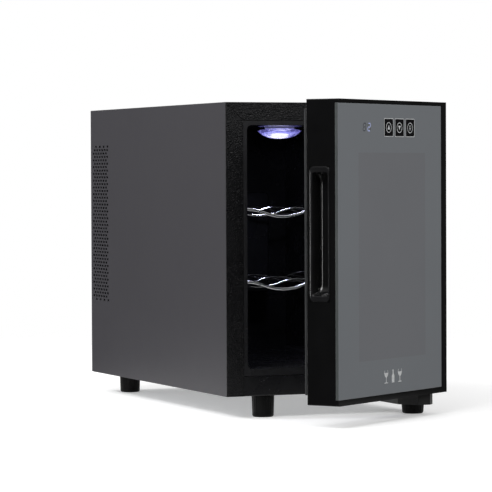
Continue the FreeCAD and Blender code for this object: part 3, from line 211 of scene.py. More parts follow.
class Shape:
    """Vertices and faces of one piece, collected from simple bodies."""

    def __init__(self):
        self.vertices = []
        self.faces = []
        self.finishes = []

    def skin(self, loops, closed=False, finish=0):
        """Skin between loops of equal count, capped at both ends unless the last joins the first."""
        first, count, total = len(self.vertices), len(loops[0]), len(loops)
        self.vertices += [Vector(point) for loop in loops for point in loop]
        for ring in range(total if closed else total - 1):
            one, two = first + ring * count, first + (ring + 1) % total * count
            for step in range(count):
                after = (step + 1) % count
                self.face((one + step, one + after, two + after, two + step), finish)
        if not closed:
            self.face([first + step for step in reversed(range(count))], finish)
            self.face([first + (total - 1) * count + step for step in range(count)], finish)

    def face(self, corners, finish=0):
        self.faces.append(list(corners))
        self.finishes.append(finish)

    def lathe(self, profile, centre, axis="Z", segments=24, finish=0):
        """Turned body: profile holds (radius, height) pairs from one end to the other."""
        loops = []
        for radius, height in profile:
            loop = []
            for step in range(segments):
                turn = 2 * math.pi * step / segments
                across, up = radius * math.cos(turn), radius * math.sin(turn)
                offset = {"Z": (across, up, height), "Y": (up, height, across),
                          "X": (height, across, up)}[axis]
                loop.append(Vector(centre) + Vector(offset))
            loops.append(loop)
        self.skin(loops, finish=finish)

    def block(self, low, high, chamfer=0.0, finish=0):
        """Box with chamfered upright and flat edges."""
        def outline(inset):
            return rounded((low[0] + inset, low[1] + inset), (high[0] - inset, high[1] - inset),
                           max(chamfer, 1e-5), steps=1)
        levels = [(low[2], chamfer), (low[2] + chamfer, 0), (high[2] - chamfer, 0), (high[2], chamfer)]
        if not chamfer:
            levels = [(low[2], 0), (high[2], 0)]
        self.skin([[(x, y, z) for x, y in outline(inset)] for z, inset in levels], finish=finish)

    def flat(self, outline, front, back, finish=0):
        """Plate between two depths whose outline is drawn in (x, z)."""
        self.skin([[(x, back, z) for x, z in outline], [(x, front, z) for x, z in outline]], finish=finish)

    def flat_ring(self, outer, inner, front, back, finish=0):
        """Plate with a hole; both outlines have the same count."""
        loops = [[(x, y, z) for x, z in line] for line, y in
                 ((outer, back), (outer, front), (inner, front), (inner, back))]
        self.skin(loops, closed=True, finish=finish)

    def build(self, name, materials, body, slot, turned=False, smooth=35):
        """Make the object, shade it, give it its materials and let it ride on its body."""
        mesh = bpy.data.meshes.new(name)
        points = [SWING @ point if turned else point for point in self.vertices]
        mesh.from_pydata(points, [], self.faces)
        for finish in materials:
            mesh.materials.append(finish)
        mesh.polygons.foreach_set("material_index", self.finishes)
        tidy = bmesh.new()
        tidy.from_mesh(mesh)
        bmesh.ops.recalc_face_normals(tidy, faces=tidy.faces)
        tidy.to_mesh(mesh)
        tidy.free()
        if smooth:
            mesh.shade_smooth()
            mesh.set_sharp_from_angle(angle=math.radians(smooth))
        piece = bpy.data.objects.new(name, mesh)
        bpy.context.scene.collection.objects.link(piece)
        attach(piece, body)
        return piece


def soften(thing, width, segments=2, angle=35):
    """Round the sharp edges of a piece or a node."""
    weld = thing.modifiers.new("weld", "WELD")
    weld.merge_threshold = 1e-6
    bevel = thing.modifiers.new("rounding", "BEVEL")
    bevel.width = width
    bevel.segments = segments
    bevel.limit_method = "ANGLE"
    bevel.angle_limit = math.radians(angle)
    bevel.miter_outer = "MITER_ARC"
    bevel.use_clamp_overlap = True
    bevel.harden_normals = True
    return bevel


def dress(names, material, rounding=None):
    """Give nodes of the frame a finish, and round their edges if asked."""
    for name in names:
        node = frame["nodes"][name]
        node.data.materials.clear()
        node.data.materials.append(material)
        if rounding:
            soften(node, rounding)


# ---- shared effects ----

def new_group(name, inputs, outputs):
    """Empty shader group with named sockets, and its input and output nodes."""
    group = bpy.data.node_groups.new(name, "ShaderNodeTree")
    for label, kind, default in inputs:
        socket = group.interface.new_socket(name=label, in_out="INPUT", socket_type=kind)
        socket.default_value = default
    for label, kind in outputs:
        group.interface.new_socket(name=label, in_out="OUTPUT", socket_type=kind)
    return group, group.nodes.new("NodeGroupInput"), group.nodes.new("NodeGroupOutput")


def add(tree, kind, links=None, **settings):
    """New node with its properties set and its inputs linked or filled in."""
    node = tree.nodes.new(f"ShaderNode{kind}")
    for key, value in settings.items():
        setattr(node, key, value)
    for socket, source in (links or {}).items():
        if isinstance(source, bpy.types.NodeSocket):
            tree.links.new(source, node.inputs[socket])
        else:
            node.inputs[socket].default_value = source
    return node


def scaled_place(tree, scale):
    """Place on the piece itself, times a scale."""
    where = add(tree, "TexCoord")
    return add(tree, "VectorMath", {0: where.outputs["Object"], "Scale": scale}, operation="SCALE").outputs[0]


FLOAT, COLOUR, VECTOR = "NodeSocketFloat", "NodeSocketColor", "NodeSocketVector"


def uneven_colour_group():
    """Colour that drifts a little lighter and darker in soft clouds."""
    tree, given, made = new_group("Uneven Colour", [("Colour", COLOUR, (1, 1, 1, 1)), ("Amount", FLOAT, 0.1),
                                                    ("Scale", FLOAT, 20.0)], [("Colour", COLOUR)])
    cloud = add(tree, "TexNoise", {"Vector": scaled_place(tree, given.outputs["Scale"]), "Scale": 1.0,
                                   "Detail": 3.0})
    swing = add(tree, "MapRange", {"Value": cloud.outputs[0], "From Min": 0.3, "From Max": 0.7,
                                   "To Min": -1.0, "To Max": 1.0})
    share = add(tree, "Math", {0: swing.outputs[0], 1: given.outputs["Amount"], 2: 1.0},
                operation="MULTIPLY_ADD")
    tint = add(tree, "HueSaturation", {"Value": share.outputs[0], "Color": given.outputs["Colour"]})
    tree.links.new(tint.outputs[0], made.inputs["Colour"])
    return tree


def uneven_gloss_group():
    """Roughness between two values, in patches with finer rubbing over them."""
    tree, given, made = new_group("Uneven Gloss", [("Low", FLOAT, 0.3), ("High", FLOAT, 0.4),
                                                   ("Scale", FLOAT, 40.0)], [("Roughness", FLOAT)])
    place = scaled_place(tree, given.outputs["Scale"])
    patch = add(tree, "TexNoise", {"Vector": place, "Scale": 1.0, "Detail": 5.0, "Roughness": 0.6})
    value = add(tree, "MapRange", {"Value": patch.outputs[0], "From Min": 0.35, "From Max": 0.65,
                                   "To Min": given.outputs["Low"], "To Max": given.outputs["High"]})
    tree.links.new(value.outputs[0], made.inputs["Roughness"])
    return tree


def grain_group():
    """Fine even grain, as of powder paint or a spark-eroded mould."""
    tree, given, made = new_group("Fine Grain", [("Scale", FLOAT, 1500.0)], [("Height", FLOAT)])
    place = scaled_place(tree, given.outputs["Scale"])
    grain = add(tree, "TexNoise", {"Vector": place, "Scale": 1.0, "Detail": 2.0})
    tree.links.new(grain.outputs[0], made.inputs["Height"])
    return tree


def pebble_group():
    """Leather-like pebbles with creases between them."""
    tree, given, made = new_group("Pebbles", [("Scale", FLOAT, 500.0)],
                                  [("Height", FLOAT), ("Crease", FLOAT)])
    place = scaled_place(tree, given.outputs["Scale"])
    warp = add(tree, "TexNoise", {"Vector": place, "Scale": 0.6, "Detail": 2.0})
    bent = add(tree, "VectorMath", {0: warp.outputs["Color"], 1: (1.3, 1.3, 1.3), 2: place},
               operation="MULTIPLY_ADD")
    cells = add(tree, "TexVoronoi", {"Vector": bent.outputs[0], "Scale": 1.0}, feature="DISTANCE_TO_EDGE")
    crown = add(tree, "MapRange", {"Value": cells.outputs["Distance"], "From Min": 0.0, "From Max": 0.45},
                interpolation_type="SMOOTHSTEP")
    fine = add(tree, "TexNoise", {"Vector": place, "Scale": 5.0, "Detail": 2.0})
    height = add(tree, "Math", {0: fine.outputs[0], 1: 0.25, 2: crown.outputs[0]}, operation="MULTIPLY_ADD")
    crease = add(tree, "Math", {0: 1.0, 1: crown.outputs[0]}, operation="SUBTRACT")
    tree.links.new(height.outputs[0], made.inputs["Height"])
    tree.links.new(crease.outputs[0], made.inputs["Crease"])
    return tree


def brushed_group():
    """Long scratches along one direction."""
    tree, given, made = new_group("Brushed", [("Stretch", VECTOR, (40.0, 40.0, 3000.0))], [("Height", FLOAT)])
    where = add(tree, "TexCoord")
    place = add(tree, "VectorMath", {0: where.outputs["Object"], 1: given.outputs["Stretch"]},
                operation="MULTIPLY")
    lines = add(tree, "TexNoise", {"Vector": place.outputs[0], "Scale": 1.0, "Detail": 4.0, "Roughness": 0.7})
    tree.links.new(lines.outputs[0], made.inputs["Height"])
    return tree


def dust_group():
    """Thin dust on faces that look up."""
    tree, given, made = new_group("Settled Dust", [("Colour", COLOUR, (1, 1, 1, 1)), ("Amount", FLOAT, 0.2)],
                                  [("Colour", COLOUR)])
    where = add(tree, "TexCoord")
    up = add(tree, "SeparateXYZ", {0: where.outputs["Normal"]})
    facing = add(tree, "MapRange", {"Value": up.outputs["Z"], "From Min": 0.4, "From Max": 1.0})
    specks = add(tree, "TexNoise", {"Vector": where.outputs["Object"], "Scale": 900.0, "Detail": 3.0})
    thick = add(tree, "MapRange", {"Value": specks.outputs[0], "From Min": 0.45, "From Max": 0.75})
    lying = add(tree, "Math", {0: facing.outputs[0], 1: thick.outputs[0]}, operation="MULTIPLY")
    share = add(tree, "Math", {0: lying.outputs[0], 1: given.outputs["Amount"]}, operation="MULTIPLY",
                use_clamp=True)
    mix = add(tree, "Mix", {0: share.outputs[0], 6: given.outputs["Colour"], 7: (0.30, 0.29, 0.27, 1)},
              data_type="RGBA")
    tree.links.new(mix.outputs[2], made.inputs["Colour"])
    return tree


def cells_group():
    """Closed cells of rigid foam."""
    tree, given, made = new_group("Foam Cells", [("Scale", FLOAT, 900.0)],
                                  [("Height", FLOAT), ("Pit", FLOAT)])
    place = scaled_place(tree, given.outputs["Scale"])
    cells = add(tree, "TexVoronoi", {"Vector": place, "Scale": 1.0}, feature="F1")
    pit = add(tree, "MapRange", {"Value": cells.outputs["Distance"], "From Min": 0.0, "From Max": 0.6})
    tree.links.new(cells.outputs["Distance"], made.inputs["Height"])
    tree.links.new(pit.outputs[0], made.inputs["Pit"])
    return tree


def traces_group():
    """Copper tracks and solder pads of a circuit board, in the plane of two of its axes."""
    tree, given, made = new_group("Board Tracks", [("Board", COLOUR, (0.01, 0.08, 0.03, 1)),
                                                   ("Copper", COLOUR, (0.25, 0.27, 0.20, 1)),
                                                   ("Scale", FLOAT, 260.0)],
                                  [("Colour", COLOUR), ("Height", FLOAT)])
    place = scaled_place(tree, given.outputs["Scale"])
    tracks = add(tree, "TexVoronoi", {"Vector": place, "Scale": 1.0}, feature="F1", distance="MANHATTAN")
    bands = add(tree, "Math", {0: tracks.outputs["Distance"], 1: 5.0}, operation="MULTIPLY")
    fraction = add(tree, "Math", {0: bands.outputs[0]}, operation="FRACT")
    line = add(tree, "MapRange", {"Value": fraction.outputs[0], "From Min": 0.55, "From Max": 0.62})
    mix = add(tree, "Mix", {0: line.outputs[0], 6: given.outputs["Board"], 7: given.outputs["Copper"]},
              data_type="RGBA")
    tree.links.new(mix.outputs[2], made.inputs["Colour"])
    tree.links.new(line.outputs[0], made.inputs["Height"])
    return tree


GROUPS = {"colour": uneven_colour_group, "gloss": uneven_gloss_group, "grain": grain_group,
          "pebbles": pebble_group, "brushed": brushed_group, "dust": dust_group, "cells": cells_group,
          "tracks": traces_group}


def use_group(tree, kind, **values):
    """Place a shared effect in a material with its own values, and build it if it is the first."""
    maker = GROUPS[kind]
    node = tree.nodes.new("ShaderNodeGroup")
    made = bpy.data.node_groups.get(f"cooler_{kind}")
    if made is None:
        made = maker()
        made.name = f"cooler_{kind}"
    node.node_tree = made
    for socket, value in values.items():
        if isinstance(value, bpy.types.NodeSocket):
            tree.links.new(value, node.inputs[socket])
        else:
            node.inputs[socket].default_value = value
    return node


# ---- finishes ----

FINISHES = {}


def start_finish(name):
    """New material with only a Principled shader and an output."""
    material = bpy.data.materials.new(name)
    material.use_nodes = True
    shader = next(node for node in material.node_tree.nodes if node.type == "BSDF_PRINCIPLED")
    return material, material.node_tree, shader


def finish(name, tint, gloss, tone=(0.12, 25.0), patches=30.0, relief=("grain", 1500.0), depth=0.01,
           dust=0.0, **constants):
    """Principled material: uneven colour and gloss, a relief, and constants on the shader itself."""
    if name in FINISHES:
        return FINISHES[name]
    material, tree, shader = start_finish(name)
    FINISHES[name] = material
    amount, scale = tone
    shade = use_group(tree, "colour", Colour=(*tint, 1), Amount=amount, Scale=scale).outputs["Colour"]
    if dust:
        shade = use_group(tree, "dust", Colour=shade, Amount=dust).outputs["Colour"]
    tree.links.new(shade, shader.inputs["Base Color"])
    low, high = gloss
    rough = use_group(tree, "gloss", Low=low, High=high, Scale=patches)
    tree.links.new(rough.outputs["Roughness"], shader.inputs["Roughness"])
    kind, size = relief
    values = {"Stretch": size} if kind == "brushed" else {"Scale": size}
    pattern = use_group(tree, kind, **values)
    bump = add(tree, "Bump", {"Height": pattern.outputs["Height"], "Strength": 1.0, "Distance": depth * MM})
    tree.links.new(bump.outputs[0], shader.inputs["Normal"])
    for socket, value in constants.items():
        shader.inputs[socket.replace("_", " ")].default_value = value
    return material


def side_grey_painted_light(context):
    # Painted light: the grey stands in for the frame's own black lit by the key light
    tint = context.scene.cooler_colours.side_tint_painted_light
    return finish("grey_enamel_painted_light", tint, (0.45, 0.47), tone=(0.02, 6.0), relief=("grain", 1400.0), depth=0.012,
                  dust=0.04, Specular_IOR_Level=0.35)


def zinc_plate(context):
    tint = context.scene.cooler_colours.zinc
    return finish("zinc_plate", tint, (0.32, 0.50), tone=(0.18, 90.0),
                  relief=("brushed", (30.0, 900.0, 30.0)), depth=0.01, Metallic=1.0)


def frame_plastic(context):
    tint = context.scene.cooler_colours.frame_black
    return finish("pebbled_black", tint, (0.26, 0.38), tone=(0.25, 300.0),
                  relief=("pebbles", 400.0), depth=0.42, Specular_IOR_Level=0.25)


def liner_plastic(context):
    tint = context.scene.cooler_colours.liner_black
    return finish("liner_gloss_black", tint, (0.20, 0.30), tone=(0.15, 40.0),
                  relief=("grain", 700.0), depth=0.008, Specular_IOR_Level=0.35)


def matt_plastic(context):
    tint = context.scene.cooler_colours.rubber
    return finish("moulded_matt_black", tint, (0.45, 0.60), tone=(0.25, 120.0),
                  relief=("grain", 1800.0), depth=0.03, dust=0.03, Specular_IOR_Level=0.4)


def polished_black(context):
    tint = context.scene.cooler_colours.gloss_black
    return finish("polished_black", tint, (0.035, 0.09), tone=(0.2, 30.0),
                  relief=("grain", 160.0), depth=0.0035, Specular_IOR_Level=0.45)


def chrome(context):
    tint = context.scene.cooler_colours.chrome
    return finish("plated_wire", tint, (0.06, 0.14), tone=(0.05, 60.0), relief=("grain", 900.0), depth=0.004,
                  Metallic=1.0)


def bright_steel(context):
    return finish("bright_steel", (0.55, 0.55, 0.54), (0.18, 0.34), tone=(0.10, 200.0),
                  relief=("brushed", (2500.0, 2500.0, 60.0)), depth=0.006, Metallic=1.0)


def gasket_vinyl(context):
    tint = context.scene.cooler_colours.gasket
    return finish("gasket_vinyl", tint, (0.42, 0.55), tone=(0.12, 80.0), relief=("grain", 900.0), depth=0.02,
                  Specular_IOR_Level=0.4)


def bare_aluminium(context):
    return finish("extruded_aluminium", (0.62, 0.63, 0.64), (0.30, 0.45), tone=(0.08, 120.0),
                  relief=("brushed", (900.0, 900.0, 25.0)), depth=0.012, Metallic=1.0)


def circuit_board(name, board):
    """Lacquered board with tracks under the lacquer."""
    material, tree, shader = start_finish(name)
    tracks = use_group(tree, "tracks", Board=(*board, 1), Scale=320.0)
    tree.links.new(tracks.outputs["Colour"], shader.inputs["Base Color"])
    rough = use_group(tree, "gloss", Low=0.22, High=0.38, Scale=200.0)
    tree.links.new(rough.outputs["Roughness"], shader.inputs["Roughness"])
    bump = add(tree, "Bump", {"Height": tracks.outputs["Height"], "Strength": 1.0, "Distance": 0.03 * MM})
    tree.links.new(bump.outputs[0], shader.inputs["Normal"])
    return material


def glowing(name, tint, strength, base=(0.02, 0.02, 0.03)):
    """Lit print or diode, and the painted glow of the lamp's ring: the light is a little uneven."""
    material, tree, shader = start_finish(name)
    shade = use_group(tree, "colour", Colour=(*tint, 1), Amount=0.25, Scale=700.0)
    tree.links.new(shade.outputs["Colour"], shader.inputs["Emission Color"])
    body = use_group(tree, "colour", Colour=(*base, 1), Amount=0.1, Scale=300.0)
    tree.links.new(body.outputs["Colour"], shader.inputs["Base Color"])
    shader.inputs["Emission Strength"].default_value = strength
    shader.inputs["Roughness"].default_value = 0.35
    return material


# ---- operators ----

class CoolerOperator:
    """What every operator of the cooler shares."""
    bl_options = {"REGISTER", "UNDO"}

    def execute(self, context):
        self.make(context, context.scene.cooler_sizes, context.scene.cooler_colours)
        return {"FINISHED"}


class COOLER_OT_stage(CoolerOperator, bpy.types.Operator):
    """Pale floor, soft light and the camera"""
    bl_idname = "cooler.stage"
    bl_label = "Stage"

    def make(self, context, sizes, colours):
        studio = context.scene.cooler_studio
        self.camera(context, studio)
        self.floor(studio)
        self.surroundings(context)
        self.lights(context, studio)
        context.scene.view_settings.view_transform = "Standard"

    def camera(self, context, studio):
        data = bpy.data.cameras.new("camera")
        data.sensor_width = 36
        data.lens = studio.camera_lens
        data.clip_start, data.clip_end = 0.05, 50
        eye = bpy.data.objects.new("camera", data)
        context.scene.collection.objects.link(eye)
        level = math.cos(studio.camera_pitch)
        ahead = Vector((math.sin(studio.camera_yaw) * level, math.cos(studio.camera_yaw) * level,
                        -math.sin(studio.camera_pitch)))
        eye.location = studio.camera_place
        eye.rotation_mode = "QUATERNION"
        eye.rotation_quaternion = ahead.to_track_quat("-Z", "Y") @ Quaternion((0, 0, 1), studio.camera_roll)
        context.scene.camera = eye

    def floor(self, studio):
        """Round floor that thins out towards its rim, so that it has no edge."""
        rings, segments = 24, 96
        points = [(0, 0, 0)]
        faces = []
        for ring in range(1, rings + 1):
            radius = studio.floor_radius * ring / rings
            for step in range(segments):
                turn = 2 * math.pi * step / segments
                points.append((radius * math.cos(turn), radius * math.sin(turn), 0))
        for step in range(segments):
            after = (step + 1) % segments
            faces.append((0, 1 + step, 1 + after))
            for ring in range(1, rings):
                one, two = 1 + (ring - 1) * segments, 1 + ring * segments
                faces.append((one + step, two + step, two + after, one + after))
        mesh = bpy.data.meshes.new("floor")
        mesh.from_pydata(points, [], faces)
        floor = bpy.data.objects.new("floor", mesh)
        bpy.context.scene.collection.objects.link(floor)
        material = bpy.data.materials.new("pale_floor")
        material.use_nodes = True
        tree = material.node_tree
        tree.nodes.clear()
        where = add(tree, "TexCoord")
        reach = add(tree, "VectorMath", {0: where.outputs["Object"]}, operation="LENGTH")
        ray = add(tree, "LightPath")
        stretch = add(tree, "Math", {0: ray.outputs["Is Glossy Ray"], 1: MIRRORED_STRETCH, 2: 1.0},
                      operation="MULTIPLY_ADD")
        reach = add(tree, "Math", {0: reach.outputs["Value"], 1: stretch.outputs[0]}, operation="MULTIPLY")
        fade = add(tree, "MapRange", {"Value": reach.outputs["Value"], "From Min": FLOOR_FULL_REACH,
                                      "From Max": studio.floor_radius * FLOOR_CLEAR_SHARE},
                   interpolation_type="SMOOTHSTEP")
        tint = use_group(tree, "colour", Colour=(0.93, 0.93, 0.93, 1), Amount=0.01, Scale=3.0)
        matt = add(tree, "BsdfDiffuse", {"Color": tint.outputs["Colour"]})
        lit = add(tree, "Emission", {"Color": tint.outputs["Colour"], "Strength": FLOOR_GLOW})
        pale = add(tree, "AddShader", {0: matt.outputs[0], 1: lit.outputs[0]})
        clear = add(tree, "BsdfTransparent")
        mix = add(tree, "MixShader", {0: fade.outputs[0], 1: pale.outputs[0], 2: clear.outputs[0]})
        add(tree, "OutputMaterial", {"Surface": mix.outputs[0]})
        mesh.materials.append(material)
        floor.visible_diffuse = False

    def surroundings(self, context):
        """White backdrop for the camera; for light and reflections, dark walls under a bright ceiling."""
        world = bpy.data.worlds.new("studio")
        context.scene.world = world
        world.use_nodes = True
        tree = world.node_tree
        tree.nodes.clear()
        where = add(tree, "TexCoord")
        way = add(tree, "SeparateXYZ", {0: where.outputs["Generated"]})
        total = add(tree, "MapRange", {"Value": way.outputs["Z"], "From Min": DARK_BELOW,
                                       "From Max": BRIGHT_ABOVE, "To Min": DARK_STRENGTH, "To Max": 1.0},
                    interpolation_type="SMOOTHSTEP")
        studio = add(tree, "Background", {"Color": (1, 1, 1, 1), "Strength": total.outputs[0]})
        white = add(tree, "Background", {"Color": (1, 1, 1, 1), "Strength": 1.0})
        ray = add(tree, "LightPath")
        mix = add(tree, "MixShader", {0: ray.outputs["Is Camera Ray"], 1: studio.outputs[0],
                                      2: white.outputs[0]})
        add(tree, "OutputWorld", {"Surface": mix.outputs[0]})

    def lights(self, context, studio):
        """Soft key over the left front, a fill near the camera, two tall strips and a small light."""
        place_of = {"key_light": (-1.9, -1.5, 2.2), "front_light": (0.9, -3.2, 1.6),
                    "strip_left": (-1.95, -1.55, 0.5), "strip_back": (-2.12, 1.3, 0.5),
                    "small_light": (-1.7, 0.35, 1.6)}
        for name, size, tall, power in (("key_light", 1.8, 1.8, studio.key_power),
                                        ("front_light", 1.6, 1.6, studio.front_power),
                                        ("strip_left", 0.10, 1.4, studio.strip_power),
                                        ("strip_back", 0.10, 1.4, studio.strip_power),
                                        ("small_light", 0.22, 0.22, studio.spark_power)):
            data = bpy.data.lights.new(name, "AREA")
            data.energy = power
            data.shape = "RECTANGLE" if tall > size else "DISK"
            data.size = size
            data.size_y = tall
            lamp = bpy.data.objects.new(name, data)
            lamp.location = place_of[name]
            lamp.rotation_mode = "QUATERNION"
            lamp.rotation_quaternion = (Vector(AIM) - lamp.location).to_track_quat("-Z", "Y")
            lamp.visible_camera = False
            context.scene.collection.objects.link(lamp)


class COOLER_OT_sheet_metal(CoolerOperator, bpy.types.Operator):
    """Enamelled sides and top, plated pan and bulkhead"""
    bl_idname = "cooler.sheet_metal"
    bl_label = "Sheet metal"

    def make(self, context, sizes, colours):
        # The sides and top get a grey that is painted light on the same black as the front frame
        dress(["left_side_panel", "right_side_panel"], side_grey_painted_light(context))
        dress(["top_panel"], side_grey_painted_light(context), sizes.fold)
        dress(["rear_bulkhead", "base_pan"], zinc_plate(context), sizes.fold)
        dress(["foot_nuts"], bright_steel(context), sizes.fold)


class COOLER_OT_front_frame(CoolerOperator, bpy.types.Operator):
    """Pebbled frame round the mouth"""
    bl_idname = "cooler.front_frame"
    bl_label = "Front frame"

    def make(self, context, sizes, colours):
        dress(["front_stile_left", "front_stile_right", "front_header"], frame_plastic(context), sizes.fold)
        sill = finish("sill_black", paler(colours.frame_black, SILL_PALER), (0.22, 0.34),
                      tone=(0.2, 90.0), relief=("grain", 900.0), depth=0.02, Specular_IOR_Level=0.4)
        dress(["front_sill"], sill)


class COOLER_OT_liner(CoolerOperator, bpy.types.Operator):
    """Moulded liner, foam behind it and the temperature sensor"""
    bl_idname = "cooler.liner"
    bl_label = "Liner"

    def make(self, context, sizes, colours):
        dress(["inner_liner"], liner_plastic(context), sizes.mould)
        dress(["temperature_sensor"], matt_plastic(context))
        foam = finish("rigid_foam", (0.66, 0.58, 0.36), (0.75, 0.9), tone=(0.2, 60.0),
                      relief=("cells", 900.0), depth=0.4, Specular_IOR_Level=0.2)
        dress(["insulation_foam"], foam)


class COOLER_OT_lamp(CoolerOperator, bpy.types.Operator):
    """Ring, diode board and the faceted lens of the ceiling lamp"""
    bl_idname = "cooler.lamp"
    bl_label = "Lamp"

    def make(self, context, sizes, colours):
        # The ring's violet glow is painted light: emission standing in for lamp light thrown back off the
        # ring, which has no diodes of its own
        reflector_painted_glow = glowing("violet_ring_painted_glow", colours.lamp, 0.10, base=(0.3, 0.3, 0.45))
        dress(["lamp_bezel"], reflector_painted_glow, sizes.fold)
        dress(["lamp_board"], circuit_board("white_board", (0.6, 0.6, 0.6)), sizes.fold)
        low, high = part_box("lamp_lens")
        centre = (low + high) / 2
        rim = (high.x - low.x) / 2
        drop = high.z - low.z
        profile = [(rim - 10 * MM, 0), (rim * 0.88, 0.10), (rim, 0.24), (rim * 0.885, 0.46),
                   (rim * 0.75, 0.68), (rim * 0.58, 0.84), (rim * 0.40, 0.94), (rim * 0.20, 0.985),
                   (rim * 0.07, 1.0)]
        lens = Shape()
        count = sizes.lens_facets
        rings = []
        for ring, (radius, depth) in enumerate(profile):
            loop = []
            for step in range(count):
                turn = 2 * math.pi * (step + (ring % 2) / 2) / count
                loop.append(Vector((centre.x + radius * math.cos(turn), centre.y + radius * math.sin(turn),
                                    high.z - drop * depth)))
            rings.append(range(len(lens.vertices), len(lens.vertices) + count))
            lens.vertices += loop
        for ring in range(len(rings) - 1):
            one, two = rings[ring], rings[ring + 1]
            lead = ring % 2
            for step in range(count):
                after = (step + 1) % count
                if lead:
                    lens.face((one[step], one[after], two[after]))
                    lens.face((one[step], two[after], two[step]))
                else:
                    lens.face((one[step], one[after], two[step]))
                    lens.face((one[after], two[after], two[step]))
        lens.face(reversed(rings[0]))
        lens.face(rings[-1])
        piece = lens.build("lamp_lens_facets", [self.clear_lens_painted_glow(centre, rim)], "cabinet", "lamp_clear",
                           smooth=0)
        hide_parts("lamp_lens")
        self.chips(centre)
        data = bpy.data.lights.new("lamp_light", "AREA")
        data.energy = LAMP_POWER
        data.color = LAMP_TINT
        data.shape = "DISK"
        data.size = LAMP_WIDTH
        light = bpy.data.objects.new("lamp_light", data)
        light.location = (centre.x, centre.y, low.z - 1 * MM)
        light.visible_camera = False
        context.scene.collection.objects.link(light)

    def chips(self, centre):
        """Seven lit diodes in the hole of the ring, under the board."""
        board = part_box("lamp_board")[0].z
        shape = Shape()
        turns = [math.radians(60 * step) for step in range(6)]
        spots = [(0, 0)] + [(DIODE_CIRCLE * math.cos(turn), DIODE_CIRCLE * math.sin(turn)) for turn in turns]
        for x, y in spots:
            middle = (centre.x + x, centre.y + y)
            half, dome = DIODE_HALF, DIODE_DOME
            shape.block((middle[0] - half, middle[1] - half, board - 0.8 * MM),
                        (middle[0] + half, middle[1] + half, board), 0.15 * MM, finish=1)
            cap = [(dome, -0.8 * MM), (dome * 0.87, -1.1 * MM), (dome * 0.5, -1.35 * MM),
                   (dome * 0.1, -1.4 * MM)]
            shape.lathe(cap, (*middle, board), "Z", 20, finish=0)
        lit = glowing("lit_diode", (0.75, 0.78, 1.0), 14.0)
        case = finish("diode_case", (0.7, 0.7, 0.68), (0.3, 0.4), relief=("grain", 3000.0), depth=0.01)
        shape.build("lamp_diodes", [lit, case], "cabinet", "circuit_board")

    def clear_lens_painted_glow(self, centre, rim):
        """Clear plastic that passes the diodes' light; the emission drawn on it, white in the middle and
        violet at the rim, broken up facet by facet, is painted glow and painted sparkle standing in for that
        light refracted through the facets.
        """
        material, tree, shader = start_finish("faceted_lens_painted_glow")
        where = add(tree, "TexCoord")
        offset = add(tree, "VectorMath", {0: where.outputs["Object"], 1: (centre.x, centre.y, 0)},
                     operation="SUBTRACT")
        flat = add(tree, "VectorMath", {0: offset.outputs[0], 1: (1 / rim, 1 / rim, 0)}, operation="MULTIPLY")
        reach = add(tree, "VectorMath", {0: flat.outputs[0]}, operation="LENGTH")
        surface = add(tree, "NewGeometry")
        # Painted sparkle: each facet gets its own brightness from its normal
        facet = add(tree, "TexWhiteNoise", {"Vector": surface.outputs["True Normal"]}, noise_dimensions="3D")
        painted_sparkle = add(tree, "Math", {0: facet.outputs["Value"], 1: 0.70, 2: reach.outputs["Value"]},
                     operation="MULTIPLY_ADD")
        ramp = add(tree, "ValToRGB", {0: painted_sparkle.outputs[0]})
        stops = ramp.color_ramp.elements
        stops[0].position, stops[0].color = 0.30, (1.0, 1.0, 1.0, 1)
        stops[1].position, stops[1].color = 1.0, (0.015, 0.014, 0.05, 1)
        for position, shade in ((0.56, (0.40, 0.40, 0.80, 1)), (0.82, (0.09, 0.08, 0.28, 1))):
            stops.new(position).color = shade
        tree.links.new(ramp.outputs["Color"], shader.inputs["Emission Color"])
        shader.inputs["Emission Strength"].default_value = 1.1
        body = use_group(tree, "colour", Colour=(0.80, 0.80, 0.98, 1), Amount=0.03, Scale=120.0)
        tree.links.new(body.outputs["Colour"], shader.inputs["Base Color"])
        rough = use_group(tree, "gloss", Low=0.01, High=0.05, Scale=200.0)
        tree.links.new(rough.outputs["Roughness"], shader.inputs["Roughness"])
        shader.inputs["Transmission Weight"].default_value = 1.0
        shader.inputs["IOR"].default_value = 1.5
        return material


class COOLER_OT_shelves(CoolerOperator, bpy.types.Operator):
    """Plated wire shelves"""
    bl_idname = "cooler.shelves"
    bl_label = "Shelves"

    def make(self, context, sizes, colours):
        dress(["shelf_upper", "shelf_lower"], chrome(context))


class COOLER_OT_cooling_train(CoolerOperator, bpy.types.Operator):
    """Fans, sinks, spacer and the cooling module"""
    bl_idname = "cooler.cooling_train"
    bl_label = "Cooling train"

    def make(self, context, sizes, colours):
        dress(["cold_fan_cover"], liner_plastic(context))
        fan = finish("fan_moulding_black", (0.012, 0.012, 0.013), (0.30, 0.42), tone=(0.2, 150.0),
                     relief=("grain", 1200.0), depth=0.015, dust=0.25, Specular_IOR_Level=0.4)
        dress(["cold_fan_frame", "cold_fan_rotor", "exhaust_fan_frame", "exhaust_fan_rotor"], fan, sizes.fold)
        dress(["cold_sink", "hot_heat_sink", "spacer_block"], bare_aluminium(context), 0.5 * sizes.fold)
        ceramic = finish("white_ceramic", (0.78, 0.77, 0.73), (0.35, 0.55), tone=(0.05, 200.0),
                         relief=("grain", 2500.0), depth=0.01)
        dress(["thermoelectric_module"], ceramic, sizes.fold)


def cross_reach(turn, arm, half):
    """Distance from the middle of a cross to its outline."""
    across, up = max(abs(math.cos(turn)), 1e-6), max(abs(math.sin(turn)), 1e-6)
    return max(min(arm / across, half / up), min(half / across, arm / up))


